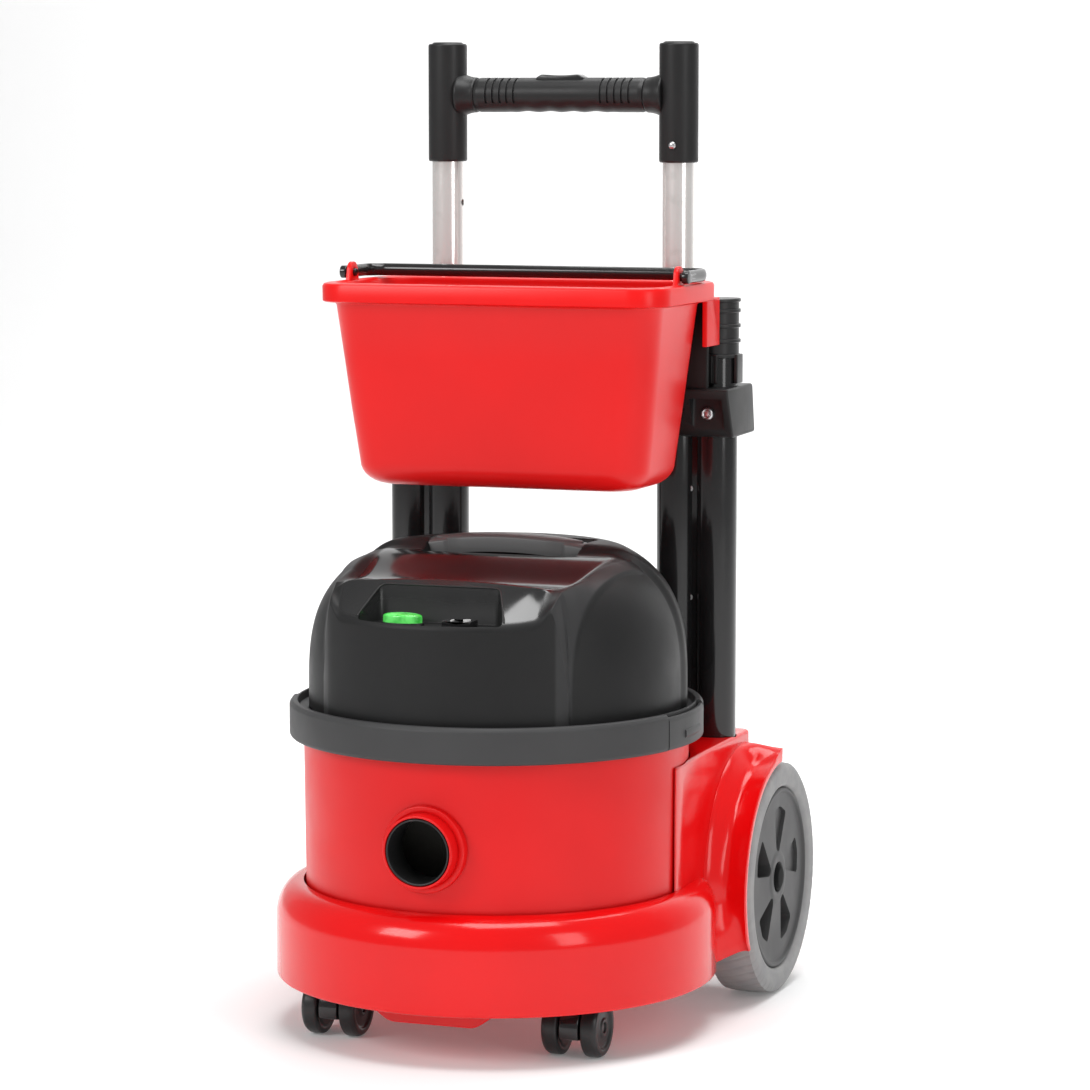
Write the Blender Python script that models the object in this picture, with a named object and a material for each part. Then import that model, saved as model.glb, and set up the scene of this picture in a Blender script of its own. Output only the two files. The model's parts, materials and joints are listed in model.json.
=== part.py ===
"""Wheeled tub vacuum cleaner with a telescopic trolley handle and a tool caddy.

Every number below is in millimetres, in a frame whose Z axis is the tub's axis and whose floor is Z = 0:
+X is the machine's left as it faces you, +Y its back. Shapes turn those numbers into metres when they are made,
and one empty, frame_origin, carries the whole machine so that the world origin is under the middle of its box.
"""

import math

import bmesh
import bpy
from mathutils import Matrix, Vector

MM = 0.001
GAP = 0.3  # left between any two pieces that would touch
LEFT, RIGHT = -1, 1
SIDES = (("left", LEFT), ("right", RIGHT))

# Tub, its inlet and what hangs inside it
TUB_R, TUB_WALL = 163.0, 3.0
TUB_BOTTOM, TUB_TOP = 62.0, 256.0
BEAD_R, BEAD_Z = 166.8, 252.2
INLET_Z, INLET_BORE_R = 177.0, 25.5
INLET_TUBE_R, INLET_FLANGE_R = 30.5, 36.0
INLET_MOUTH_Y, INLET_FLANGE_Y = -180.0, -167.5

# Motor head
RING_R, RING_BOTTOM, RING_TOP = 175.0, 248.5, 279.0
HEAD_R, HEAD_BOTTOM, HEAD_SHELL = 162.0, 272.3, 3.5
DOME_BASE, DOME_RISE, DOME_POWER = 285.0, 131.0, 3.0
LIP_Y, LIP_Z, DECK_SLOPE = -109.0, 391.5, 0.653
DIP_Y, DIP_Z, SCOOP_REAR_Y, SCOOP_REAR_Z = -78.0, 384.5, 8.0, 401.5
DOME_CAP_Z, HANDLE_HALF, HANDLE_Y, HANDLE_TOP_Z = 408.0, 100.0, 32.0, 415.5
RIDGE_X, RIDGE_SOFT = 110.0, 7.0
LATCH_HALF_ANGLE, LATCH_AXIS_X, LATCH_AXIS_Z = 15.0, 172.5, 273.5
POCKET_FLOOR, RECESS_FLOOR, PLATE_TOP = 349.0, 370.0, 356.0
BUTTON_X, BUTTON_Y, BUTTON_HALF_X, BUTTON_HALF_Y = -30.0, -135.0, 17.0, 9.0
ROCKER_X, ROCKER_HALF_X, ROCKER_HALF_Y = 20.0, 12.8, 8.0

# Trolley base
SKIRT_R, SKIRT_BOTTOM, SKIRT_WALL = 187.0, 44.0, 3.5
SHOULDER = ((187.0, 100.0), (184.5, 110.0), (177.0, 119.0), (166.0, 124.5))
BLOCK_TOP, BLOCK_BACK, BLOCK_PLATE_Z = 230.0, 206.0, 208.0
WELL_X, WELL_R = 149.0, 106.0
ARCH_PROFILE = ((150.0, 126.0), (162.0, 126.0), (167.0, 119.0), (180.0, 112.0), (196.0, 108.5))
ARCH_FROM, ARCH_TO = 91.0, 203.0

# Wheels and castors
AXLE_Y, AXLE_Z, AXLE_R = 188.0, 102.0, 6.0
WHEEL_R, WHEEL_INNER_X, WHEEL_OUTER_X, HUB_R = 102.0, 152.0, 197.0, 79.3
CASTOR_X, CASTOR_STEM_Y, CASTOR_AXLE_Y, CASTOR_R = 107.0, -79.0, -94.0, 24.5

# Posts, tubes and handle
POST_Y, LOBE_IN_X, LOBE_OUT_X = 161.0, 107.0, 143.0
LOBE_IN_R, LOBE_OUT_R, WEB_HALF = 18.0, 17.5, 8.0
POST_BOTTOM, POST_TOP = 212.3, 606.0
TUBE_R, TUBE_WALL, TUBE_BOTTOM, TUBE_TOP = 14.0, 1.7, 356.0, 822.0
SLEEVE_R, SLEEVE_BOTTOM, SLEEVE_TOP = 17.0, 727.0, 829.5
GRIP_Z, GRIP_R, GRIP_HALF = 785.0, 15.0, 77.7
BRACKET_TOP, BRACKET_BOTTOM = 535.0, 492.0

# Tool caddy and its bail
CADDY_TOP, CADDY_BOTTOM = 627.5, 455.0
SKIRT_PLATE_BOTTOM = 572.0
BAIL_Y, BAIL_Z, BAIL_REACH, BAIL_R, BAIL_X = 40.0, 634.0, 58.0, 5.5, 154.5

BIG, WHEEL, INLET, MEDIUM, SMALL = 48, 32, 22, 20, 12  # how many sides round shapes have

MATERIALS = {
    "red_gloss": ((0.80, 0.012, 0.010), 0.22, 0.0),
    "red_satin": ((0.82, 0.022, 0.020), 0.40, 0.0),
    "charcoal": ((0.045, 0.045, 0.047), 0.45, 0.0),
    "ring_grey": ((0.085, 0.085, 0.087), 0.55, 0.0),
    "black_gloss": ((0.015, 0.015, 0.016), 0.22, 0.0),
    "tyre_grey": ((0.30, 0.30, 0.30), 0.65, 0.0),
    "hub_grey": ((0.12, 0.12, 0.12), 0.50, 0.0),
    "chrome": ((0.80, 0.78, 0.76), 0.16, 1.0),
    "steel": ((0.55, 0.55, 0.56), 0.35, 1.0),
    "green_lens": ((0.05, 0.70, 0.08), 0.25, 0.0),
    "filter_cloth": ((0.75, 0.72, 0.62), 0.90, 0.0),
    "motor_metal": ((0.45, 0.45, 0.46), 0.40, 1.0),
}


# ---------------------------------------------------------------- scene and helpers


def clear_scene():
    for obj in list(bpy.data.objects):
        bpy.data.objects.remove(obj, do_unlink=True)


def make_material(name):
    colour, roughness, metallic = MATERIALS[name]
    material = bpy.data.materials.new(name)
    material.use_nodes = True
    shader = material.node_tree.nodes["Principled BSDF"]
    shader.inputs["Base Color"].default_value = (*colour, 1.0)
    shader.inputs["Roughness"].default_value = roughness
    shader.inputs["Metallic"].default_value = metallic
    return material


def add_object(name, bm, material=None, origin=(0, 0, 0), parent=None):
    """Turns a bmesh in millimetres into an object in metres whose origin is at the point given."""
    bmesh.ops.recalc_face_normals(bm, faces=bm.faces)
    bmesh.ops.translate(bm, verts=bm.verts, vec=-Vector(origin))
    bmesh.ops.scale(bm, verts=bm.verts, vec=(MM, MM, MM))
    mesh = bpy.data.meshes.new(name)
    bm.to_mesh(mesh)
    bm.free()
    obj = bpy.data.objects.new(name, mesh)
    bpy.context.scene.collection.objects.link(obj)
    obj.location = Vector(origin) * MM
    obj.parent = parent or FRAME
    if material:
        mesh.materials.append(MATERIAL[material])
        mesh.shade_smooth()
        mesh.set_sharp_from_angle(angle=math.radians(35))
    else:
        obj.hide_render = True
        obj.display_type = "WIRE"
    return obj


def boolean(target, operation, *tools):
    for tool in tools:
        modifier = target.modifiers.new(operation.title(), "BOOLEAN")
        modifier.operation = operation
        modifier.object = tool
    return target


def cut(target, *tools):
    return boolean(target, "DIFFERENCE", *tools)


def join(target, *tools):
    return boolean(target, "UNION", *tools)


def prism(outline, axis, low, high):
    """Extrudes a flat outline along an axis: (y, z) points along x, (x, z) along y, (x, y) along z."""
    place = {"x": lambda a, b, h: (h, a, b), "y": lambda a, b, h: (a, h, b), "z": lambda a, b, h: (a, b, h)}[axis]
    bm = bmesh.new()
    face = bm.faces.new([bm.verts.new(place(a, b, low)) for a, b in outline])
    grown = bmesh.ops.extrude_face_region(bm, geom=[face])["geom"]
    moved = [v for v in grown if isinstance(v, bmesh.types.BMVert)]
    bmesh.ops.translate(bm, verts=moved, vec=Vector(place(0, 0, high)) - Vector(place(0, 0, low)))
    return bm


def box(x, y, z):
    return prism([(x[0], y[0]), (x[1], y[0]), (x[1], y[1]), (x[0], y[1])], "z", z[0], z[1])


def turned(profile, sides, centre=(0, 0, 0), axis="z"):
    """Spins a closed profile of (radius, height) points round an axis, leaving out the side that is on the axis."""
    bm = bmesh.new()
    verts = [bm.verts.new((r, 0, h)) for r, h in profile]
    edges = [bm.edges.new((a, b)) for a, b in zip(verts, verts[1:] + verts[:1]) if a.co.x or b.co.x]
    bmesh.ops.spin(bm, geom=verts + edges, axis=(0, 0, 1), cent=(0, 0, 0), angle=math.tau, steps=sides, use_merge=True)
    bmesh.ops.remove_doubles(bm, verts=bm.verts, dist=1e-4)
    turn = {"z": Matrix(), "x": Matrix.Rotation(math.pi / 2, 4, "Y"), "y": Matrix.Rotation(-math.pi / 2, 4, "X")}[axis]
    bmesh.ops.transform(bm, matrix=Matrix.Translation(centre) @ turn, verts=bm.verts)
    return bm


def rod(radius, low, high, centre, axis, sides=SMALL):
    """A plain cylinder between two places along an axis."""
    return turned([(0, low), (radius, low), (radius, high), (0, high)], sides, centre, axis)


def loft(loops):
    """A closed solid through loops of equal length, with flat ends."""
    bm = bmesh.new()
    rings = [[bm.verts.new(p) for p in loop] for loop in loops]
    for a, b in zip(rings, rings[1:]):
        for i in range(len(a)):
            j = (i + 1) % len(a)
            bm.faces.new((a[i], a[j], b[j], b[i]))
    bm.faces.new(rings[0])
    bm.faces.new(rings[-1])
    return bm


def rounded_rectangle(half_x, front, back, radius, z, steps=4):
    """A loop of points round a rectangle with round corners, at one height."""
    corners = ((1, 1, 0), (-1, 1, 90), (-1, -1, 180), (1, -1, 270))
    middle, half_y = (front + back) / 2, (back - front) / 2
    points = []
    for sx, sy, start in corners:
        for k in range(steps + 1):
            a = math.radians(start + 90 * k / steps)
            x = sx * (half_x - radius) + radius * math.cos(a)
            y = middle + sy * (half_y - radius) + radius * math.sin(a)
            points.append((x, y, z))
    return points


def sector(profile, start, stop, steps, place):
    """A solid that sweeps a (radius, height) profile through an angle in degrees; place puts a point in the frame."""
    angles = [math.radians(start + (stop - start) * k / steps) for k in range(steps + 1)]
    return loft([[place(r, h, a) for r, h in profile] for a in angles])


def round_z(r, z, angle):
    """A point at an angle from the machine's front, towards +X."""
    return (r * math.sin(angle), -r * math.cos(angle), z)


def smooth(low, high, x):
    t = min(max((x - low) / (high - low), 0.0), 1.0)
    return t * t * (3 - 2 * t)


def lobed_outline(side, offset=0.0, steps=4):
    """The post's section: two round lobes joined by a web, grown by an offset."""
    half = WEB_HALF + offset
    points = []
    for centre, radius, facing in ((LOBE_OUT_X, LOBE_OUT_R + offset, 0.0), (LOBE_IN_X, LOBE_IN_R + offset, math.pi)):
        spare = math.asin(half / radius)
        sweep = math.pi - spare
        for k in range(2 * steps + 1):
            a = facing - sweep + sweep * k / steps
            points.append((side * (centre + radius * math.cos(a)), POST_Y + radius * math.sin(a)))
    return points


# ---------------------------------------------------------------- trolley base


def block_outline():
    """The rear block in plan. Its sides start level with the tub's sides and draw in slightly towards the wheels."""
    corner = [(-152.0 - 10 * math.cos(a), BLOCK_BACK - 10 + 10 * math.sin(a)) for a in (0, math.pi / 4, math.pi / 2)]
    left = [(-168.0, -30.0), (-162.0, 63.0), *corner]
    return left + [(-x, y) for x, y in reversed(left)]


def arch(side):
    """A mudguard that flares from the block's side to the wheel's outer face, and kicks up at its tip."""

    def place(x, r, angle):
        lift = 6.0 * (1 - smooth(ARCH_FROM, ARCH_FROM + 9, math.degrees(angle))) * smooth(170, 196, x)
        return (side * x, AXLE_Y + (r + lift) * math.cos(angle), AXLE_Z + (r + lift) * math.sin(angle))

    profile = [*ARCH_PROFILE, (196.0, 98.0), (150.0, 98.0)]
    return sector(profile, ARCH_FROM, ARCH_TO, 10, place)


def build_base():
    skirt = [(0, 52), (176, 52), (176, SKIRT_BOTTOM), (184, SKIRT_BOTTOM), (187, 47), *SHOULDER, (0, SHOULDER[-1][1])]
    base = add_object("trolley_base", turned(skirt, BIG), "red_gloss")
    join(base, add_object("block", prism(block_outline(), "z", SKIRT_BOTTOM, BLOCK_TOP)))
    keel = [(-60, 53), (-52, 38), (-38, 28), (38, 28), (52, 38), (60, 53)]
    join(base, add_object("keel", prism(keel, "y", -150, -100)))
    for name, side in SIDES:
        join(base, add_object("arch_" + name, arch(side)))
    cut(base, add_object("tub_well", rod(TUB_R + 1, TUB_BOTTOM - GAP, 300, (0, 0, 0), "z", BIG)))
    inner = [(167.5, 40), (183.5, 40), (183.5, 99), (181.2, 108), (174, 116.5), (167.5, 119)]
    cut(base, add_object("skirt_hollow", turned(inner, BIG)))
    cavity = add_object("block_hollow", box((-144, 144), (60, BLOCK_BACK - 5), (30, BLOCK_PLATE_Z)))
    cut(cavity, add_object("well_wall", rod(168, 20, 240, (0, 0, 0), "z", BIG)))
    cut(base, cavity)
    cut(base, add_object("axle_hole", rod(AXLE_R + GAP, -230, 230, (0, AXLE_Y, AXLE_Z), "x")))
    for name, side in SIDES:
        well = turned([(0, WELL_X), (WELL_R, WELL_X), (WELL_R, 240), (0, 240)], WHEEL, (0, AXLE_Y, AXLE_Z), "x")
        if side == LEFT:
            bmesh.ops.scale(well, vec=(-1, 1, 1), verts=well.verts)
        cut(base, add_object("wheel_well_" + name, well))
        cut(base, add_object("post_socket_" + name, prism(lobed_outline(side, GAP), "z", POST_BOTTOM - GAP, 260)))
        stem = rod(5.8, 40, 60.2, (side * CASTOR_X, CASTOR_STEM_Y, 0), "z")
        cut(base, add_object("stem_socket_" + name, stem))
    axle = rod(AXLE_R, -192, 192, (0, AXLE_Y, AXLE_Z), "x")
    add_object("rear_axle", axle, "steel")


# ---------------------------------------------------------------- wheels and castors


def mirrored(profile, side):
    """A profile along X for the left or the right side."""
    return [(r, side * x) for r, x in profile]


def hub_window(angle):
    """A wedge between two spokes of the hub, seen along the axle."""
    corners = ((25.0, -0.26), (63.0, -0.40), (66.0, 0.0), (63.0, 0.30), (25.0, 0.10))
    return [(AXLE_Y + r * math.cos(angle + a), AXLE_Z + r * math.sin(angle + a)) for r, a in corners]


def build_wheel(name, side):
    centre = (0, AXLE_Y, AXLE_Z)
    pivot = (side * (WHEEL_INNER_X + WHEEL_OUTER_X) / 2, AXLE_Y, AXLE_Z)
    tread = [(79.6, 156), (79.6, 193), (90, 197), (98, 195.5), (102, 187), (102, 162), (98, 153.5), (90, 152)]
    tyre = turned(mirrored(tread, side), WHEEL, centre, "x")
    add_object("tyre_" + name, tyre, "tyre_grey", pivot)
    hub = [(8.5, 158), (20, 158), (20, 178), (72, 176), (73, 157), (HUB_R, 157), (HUB_R, 193), (74, 191.5)]
    hub += [(70, 187), (22, 190), (13, 190), (13, 184), (8.5, 184)]
    wheel = add_object("hub_" + name, turned(mirrored(hub, side), WHEEL, centre, "x"), "hub_grey", pivot)
    low, high = sorted((side * 170, side * 196))
    for k in range(5):
        window = prism(hub_window(math.radians(86 + 72 * k)), "x", low, high)
        cut(wheel, add_object(f"hub_window_{name}_{k}", window, origin=pivot))
    bush = turned(mirrored([(6.3, 158), (8.2, 158), (8.2, 183.7), (6.3, 183.7)], side), SMALL, centre, "x")
    add_object("hub_bush_" + name, bush, "motor_metal", pivot)
    cap = [(0, 192.4), (0, 195.6), (8, 195.6), (12.4, 193.5), (12.4, 185), (6.4, 185), (6.4, 192.4)]
    add_object("axle_cap_" + name, turned(mirrored(cap, side), SMALL, centre, "x"), "black_gloss", pivot)


def hood_outline():
    """A castor's hood from the side, as (y, z): round over the wheels, reaching back over the stem."""
    arc = [(CASTOR_AXLE_Y + 23.5 * math.cos(a), CASTOR_R + 23.5 * math.sin(a)) for a in (3.45, 3.1, 2.8, 2.5, 2.2, 1.95)]
    back = CASTOR_STEM_Y + 12
    return [*arc, (CASTOR_STEM_Y - 12, 50.4), (back, 50.4), (back + 1.5, 44), (back - 6, 32), (-87, 16), (-101, 14)]


def build_castor(name, side):
    swivel = (side * CASTOR_X, CASTOR_STEM_Y, 50)
    axle = (side * CASTOR_X, CASTOR_AXLE_Y, CASTOR_R)
    low, high = side * CASTOR_X - 8.5, side * CASTOR_X + 8.5
    hood = add_object("castor_hood_" + name, prism(hood_outline(), "x", low, high), "black_gloss", swivel)
    cut(hood, add_object("hood_axle_hole_" + name, rod(4.3, -20, 20, axle, "x"), origin=swivel))
    cut(hood, add_object("hood_stem_hole_" + name, rod(4.3, 38, 60, (swivel[0], swivel[1], 0), "z"), origin=swivel))
    stem = [(0, 38.5), (4, 38.5), (4, 51), (5.5, 51), (5.5, 59.5), (0, 59.5)]
    add_object("castor_stem_" + name, turned(stem, SMALL, (swivel[0], swivel[1], 0)), "steel", swivel)
    add_object("castor_axle_" + name, rod(4, -22, 22, axle, "x"), "steel", axle)
    rim = [(4.3, 9.2), (22, 9.2), (24.5, 12), (24.5, 20.5), (21, 24), (4.3, 24)]
    for part, way in (("outer", side), ("inner", -side)):
        wheel = turned(mirrored(rim, way), MEDIUM - 4, axle, "x")
        add_object(f"castor_wheel_{name}_{part}", wheel, "black_gloss", axle)


# ---------------------------------------------------------------- tub and inlet


def build_tub():
    outside = [(0, TUB_BOTTOM), (155, TUB_BOTTOM), (161, 69), (TUB_R, BEAD_Z), (BEAD_R, BEAD_Z), (BEAD_R, TUB_TOP)]
    inside = [(160, TUB_TOP), (157.5, 69), (154, 65), (0, 65)]
    tub = add_object("tub", turned(outside + inside, BIG), "red_satin")
    cut(tub, add_object("inlet_hole", rod(28.3, -200, -120, (0, 0, INLET_Z), "y", INLET)))
    flange_y, mouth_y = INLET_FLANGE_Y, INLET_MOUTH_Y
    collar = [(28, -150), (INLET_FLANGE_R, -150), (INLET_FLANGE_R, flange_y + 1), (INLET_FLANGE_R - 1.5, flange_y)]
    collar += [(INLET_TUBE_R + 0.6, flange_y), (INLET_TUBE_R, mouth_y + 1), (INLET_TUBE_R - 1, mouth_y), (28, mouth_y)]
    ring = add_object("inlet_collar", turned(collar, INLET, (0, 0, INLET_Z), "y"), "red_satin")
    cut(ring, add_object("collar_seat", rod(TUB_R + GAP, 100, 260, (0, 0, 0), "z", BIG)))
    liner = [(INLET_BORE_R, -148), (27.6, -148), (27.6, -178.5), (26.6, -179.6), (INLET_BORE_R, -178.5)]
    add_object("inlet_liner", turned(liner, INLET, (0, 0, INLET_Z), "y"), "black_gloss")
    bag = [(0, 94), (62, 96), (106, 112), (134, 195), (157, 254)]
    bag += [(154, 254), (131, 196), (103, 115), (60, 99), (0, 97)]
    add_object("filter_bag", turned(bag, MEDIUM), "filter_cloth")


# ---------------------------------------------------------------- motor head


def deck_height(y):
    """The head's middle from front to back: a sloping deck up to a lip, then a scoop that dips and rises again."""
    if y < LIP_Y:
        return LIP_Z + (y - LIP_Y) * DECK_SLOPE
    if y < DIP_Y:
        return LIP_Z + (DIP_Z - LIP_Z) * smooth(LIP_Y, DIP_Y, y)
    return DIP_Z + (SCOOP_REAR_Z - DIP_Z) * smooth(DIP_Y, SCOOP_REAR_Y, y)


def head_height(x, y):
    """The height of the head's top over a point in plan: a middle between two ridges, and a dome round it."""
    r = min(math.hypot(x, y) / HEAD_R, 1.0)
    dome = DOME_BASE + DOME_RISE * (1 - r**DOME_POWER) ** (1 / DOME_POWER)
    side = max(smooth(RIDGE_X - RIDGE_SOFT, RIDGE_X + RIDGE_SOFT, abs(x)), smooth(2, 30, y))
    return deck_height(y) * (1 - side) + min(dome, DOME_CAP_Z) * side


def head_solid(radius, drop, bottom):
    """The head as a closed solid: a wall at one radius under the top surface, lowered by drop."""
    turns, rows = 36, 7
    rings = []
    for k in range(rows):
        t = math.pi / 2 * k / rows
        r = radius * math.cos(t) ** (2 / 3)
        ring = []
        for j in range(turns):
            x, y, _ = round_z(r, 0, math.tau * j / turns)
            ring.append((x, y, head_height(x * HEAD_R / radius, y * HEAD_R / radius) - drop))
        rings.append(ring)
    foot = [(x, y, bottom) for x, y, _ in rings[0]]
    bm = loft([foot, *rings])
    top = next(f for f in bm.faces if len(f.verts) == turns and f.calc_center_median().z > bottom + 50)
    bmesh.ops.poke(bm, faces=[top])
    return bm


def pocket(grow):
    """The control pocket behind the front edge, wider at the top, grown on all sides."""
    low = [(-50, -149), (50, -149), (46, -120), (-48, -120)]
    high = [(-72, -153), (72, -153), (52, -112), (-62, -112)]
    middle_y = 130

    def ring(points, z):
        return [(x + math.copysign(grow, x), y + math.copysign(grow, y + middle_y), z) for x, y in points]

    return loft([ring(low, POCKET_FLOOR - grow), ring(high, 400 if grow else 402)])


def recess(grow):
    """The finger recess under the carrying handle."""
    return loft([
        rounded_rectangle(58 + grow, 6 - grow, 58 + grow, 16, RECESS_FLOOR - grow, 3),
        rounded_rectangle(70 + grow, -2 - grow, 66 + grow, 16, 430, 3),
    ])


def build_head_cover():
    cover = add_object("head_cover", head_solid(HEAD_R, 0, HEAD_BOTTOM), "charcoal")
    inner = add_object("head_hollow", head_solid(HEAD_R - HEAD_SHELL, HEAD_SHELL, HEAD_BOTTOM - 5))
    cut(inner, add_object("pocket_wall", pocket(HEAD_SHELL)), add_object("recess_wall", recess(HEAD_SHELL)))
    cut(cover, inner, add_object("pocket_cut", pocket(0)), add_object("recess_cut", recess(0)))
    loops = []
    for k in range(-8, 9):
        x = HANDLE_HALF * k / 8
        z = HANDLE_TOP_Z - 9.5 * (k / 8) ** 2
        low = 12 if abs(k) < 7 else 9
        section = ((-14, 9), (-11, 2), (-6, 0), (6, 0), (11, 2), (14, 9), (10, low), (-10, low))
        loops.append([(x, HANDLE_Y + y, z - down) for y, down in section])
    handle = add_object("carry_handle", loft(loops), "charcoal")
    seat = add_object("handle_seat", head_solid(HEAD_R + GAP, -1.0, 270))
    cut(seat, add_object("handle_space", recess(-1.0)))
    cut(handle, seat)
    gland = [(4.2, 158), (14, 158), (14, 165), (10, 166.5), (8.5, 180), (7, 182), (4.2, 182)]
    fitting = add_object("cord_gland", turned(gland, SMALL, (0, 0, 302), "y"), "black_gloss")
    cut(fitting, add_object("gland_seat", rod(HEAD_R + GAP, 280, 330, (0, 0, 0), "z", BIG)))


def stretched(bm, x, y, half_x, half_y):
    """Turns a shape of radius 1 round Z into an oval one at a place."""
    place = Matrix.Translation((x, y, 0)) @ Matrix.Diagonal((half_x, half_y, 1, 1))
    bmesh.ops.transform(bm, matrix=place, verts=bm.verts)
    return bm


def build_controls():
    plate = add_object("switch_plate", box((-47, 45), (-146, -123), (POCKET_FLOOR + GAP, PLATE_TOP)), "black_gloss")
    well = turned([(0, 340), (1, 340), (1, 360), (0, 360)], MEDIUM)
    stretched(well, BUTTON_X, BUTTON_Y, BUTTON_HALF_X + 0.4, BUTTON_HALF_Y + 0.4)
    slot_x = (ROCKER_X - ROCKER_HALF_X - 0.6, ROCKER_X + ROCKER_HALF_X + 0.6)
    slot_y = (BUTTON_Y - ROCKER_HALF_Y - 0.4, BUTTON_Y + ROCKER_HALF_Y + 0.4)
    cut(plate, add_object("button_well", well), add_object("rocker_slot", box(slot_x, slot_y, (340, 360))))
    low, top = PLATE_TOP - 4.5, PLATE_TOP + 9.5
    dome = [(0, low), (1, low), (1, top - 6), (0.93, top - 3.5), (0.7, top - 1.5), (0.35, top - 0.3), (0, top)]
    dome = stretched(turned(dome, MEDIUM), BUTTON_X, BUTTON_Y, BUTTON_HALF_X, BUTTON_HALF_Y)
    add_object("power_button", dome, "green_lens", (BUTTON_X, BUTTON_Y, PLATE_TOP))
    half, z = ROCKER_HALF_X, PLATE_TOP
    rocker = [(-half, z + 0.8), (-half, z + 6), (0, z + 3.8), (half, z + 6), (half, z + 0.8), (6, z - 3.8), (-6, z - 3.8)]
    rocker = prism([(ROCKER_X + x, h) for x, h in rocker], "y", BUTTON_Y - ROCKER_HALF_Y, BUTTON_Y + ROCKER_HALF_Y)
    add_object("rocker_switch", rocker, "black_gloss", (ROCKER_X, BUTTON_Y, PLATE_TOP + 1))


def build_ring():
    section = [(167.2, RING_BOTTOM), (173.4, RING_BOTTOM), (RING_R, 250.5), (RING_R, 277), (173.2, RING_TOP)]
    section += [(168, RING_TOP), (167, 272), (158, 272), (158, TUB_TOP + 1.2), (167.2, TUB_TOP + 1.2)]
    ring = add_object("head_ring", turned(section, BIG), "ring_grey")
    body = [(170.2, 249.2), (175, 249.2), (175.5, 252), (175.5, 273), (174, 276.4), (171.5, 276.4)]
    body += [(170.2, 274), (170.2, 251.7), (165.2, 251.7), (165.2, 249.2)]
    for name, side in SIDES:
        middle = 90.0 * side
        low, high = middle - LATCH_HALF_ANGLE, middle + LATCH_HALF_ANGLE
        section = [(160, 240), (182, 240), (182, 285), (169.3, 285), (169.3, 252.1), (160, 252.1)]
        cut(ring, add_object("latch_notch_" + name, sector(section, low, high, 4, round_z)))
        latch = sector(body, low + 0.2, high - 0.2, 4, round_z)
        add_object("latch_" + name, latch, "ring_grey", (side * LATCH_AXIS_X, 0, LATCH_AXIS_Z))


def build_motor():
    can = [(0, 150), (72, 150), (72, 259), (157.4, 259), (157.4, 264), (69, 264), (69, 153), (0, 153)]
    add_object("motor_housing", turned(can, WHEEL), "black_gloss")
    body = [(5.6, 186), (44, 186), (48, 190), (48, 300), (30, 312), (12, 330), (0, 330), (0, 214), (5.6, 214)]
    add_object("motor_body", turned(body, MEDIUM), "motor_metal")
    blades, points = 12, []
    for k in range(blades):
        for r, a in ((38, 0.0), (61, 0.16), (61, 0.26), (38, 0.20)):
            turn = math.tau * k / blades + a
            points.append((r * math.cos(turn), r * math.sin(turn)))
    fan = add_object("motor_fan", prism(points, "z", 158, 176), "motor_metal", (0, 0, 170))
    join(fan, add_object("fan_shaft", rod(5, 157, 212, (0, 0, 0), "z"), origin=(0, 0, 170)))


# ---------------------------------------------------------------- posts and brackets


def build_post(name, side):
    post = add_object("post_" + name, prism(lobed_outline(side), "z", POST_BOTTOM, POST_TOP), "black_gloss")
    for lobe, x, r in (("in", LOBE_IN_X, TUBE_R + 0.5), ("out", LOBE_OUT_X, 14.3)):
        bore = rod(r, 238, 640, (side * x, POST_Y, 0), "z", MEDIUM)
        cut(post, add_object(f"post_bore_{lobe}_{name}", bore))
    build_collar(name, side)
    build_bracket(name, side)


def build_collar(name, side):
    """The moulded guide on a post's top, with raised bands and two legs that reach down its outer lobe."""
    levels = [(560, 2.6), (563, 2.6), (563, 1.4), (584, 1.4), (584, 2.6), (587, 2.6), (587, 1.4)]
    levels += [(608, 1.4), (608, 2.6), (611, 2.6)]
    loops = [[(x, y, z) for x, y in lobed_outline(side, grow)] for z, grow in levels]
    collar = add_object("post_collar_" + name, loft(loops), "black_gloss")
    for k, (x, y) in enumerate((((138, 147), (139.5, 142.9)), ((160.9, 163.8), (155, 167)))):
        leg = box(sorted((side * x[0], side * x[1])), y, (538, 563))
        join(collar, add_object(f"collar_leg_{name}_{k}", leg))
    cut(collar, add_object("collar_room_" + name, prism(lobed_outline(side, GAP), "z", 530, POST_TOP + GAP)))
    hole = rod(TUBE_R + 0.5, 600, 620, (side * LOBE_IN_X, POST_Y, 0), "z", MEDIUM)
    cut(collar, add_object("collar_hole_" + name, hole))


def build_bracket(name, side):
    """A clamp block round the post, with a tongue in front that the caddy hooks on."""
    flank = [(121, BRACKET_TOP), (139.5, BRACKET_BOTTOM), (202, BRACKET_BOTTOM + 1), (195, BRACKET_TOP + 1)]
    low, high = sorted((side * 84, side * 164.5))
    bracket = add_object("caddy_bracket_" + name, prism(flank, "x", low, high), "charcoal")
    tongue = box(sorted((side * 92, side * 145)), (127, 132), (520, 610.7))
    join(bracket, add_object("tongue_" + name, tongue))
    cut(bracket, add_object("bracket_room_" + name, prism(lobed_outline(side, GAP), "z", 480, 560)))
    dish = box(sorted((side * 129, side * 158)), (100, 136), (499, 526))
    cut(bracket, add_object("bolt_dish_" + name, dish))
    cut(bracket, add_object("bolt_hole_" + name, rod(3.3, 130, 150, (side * LOBE_OUT_X, 0, 513), "y")))
    bolt = [(0, 131.5), (4, 131.5), (5.5, 133), (5.5, 135.7), (3, 135.7), (3, 142.6), (0, 142.6)]
    add_object("bracket_bolt_" + name, turned(bolt, SMALL, (side * LOBE_OUT_X, 0, 513), "y"), "steel")


def build_rail():
    add_object("hanger_rail", box((-83.7, 83.7), (152, 170), (501, 529)), "black_gloss")


# ---------------------------------------------------------------- handle


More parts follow.
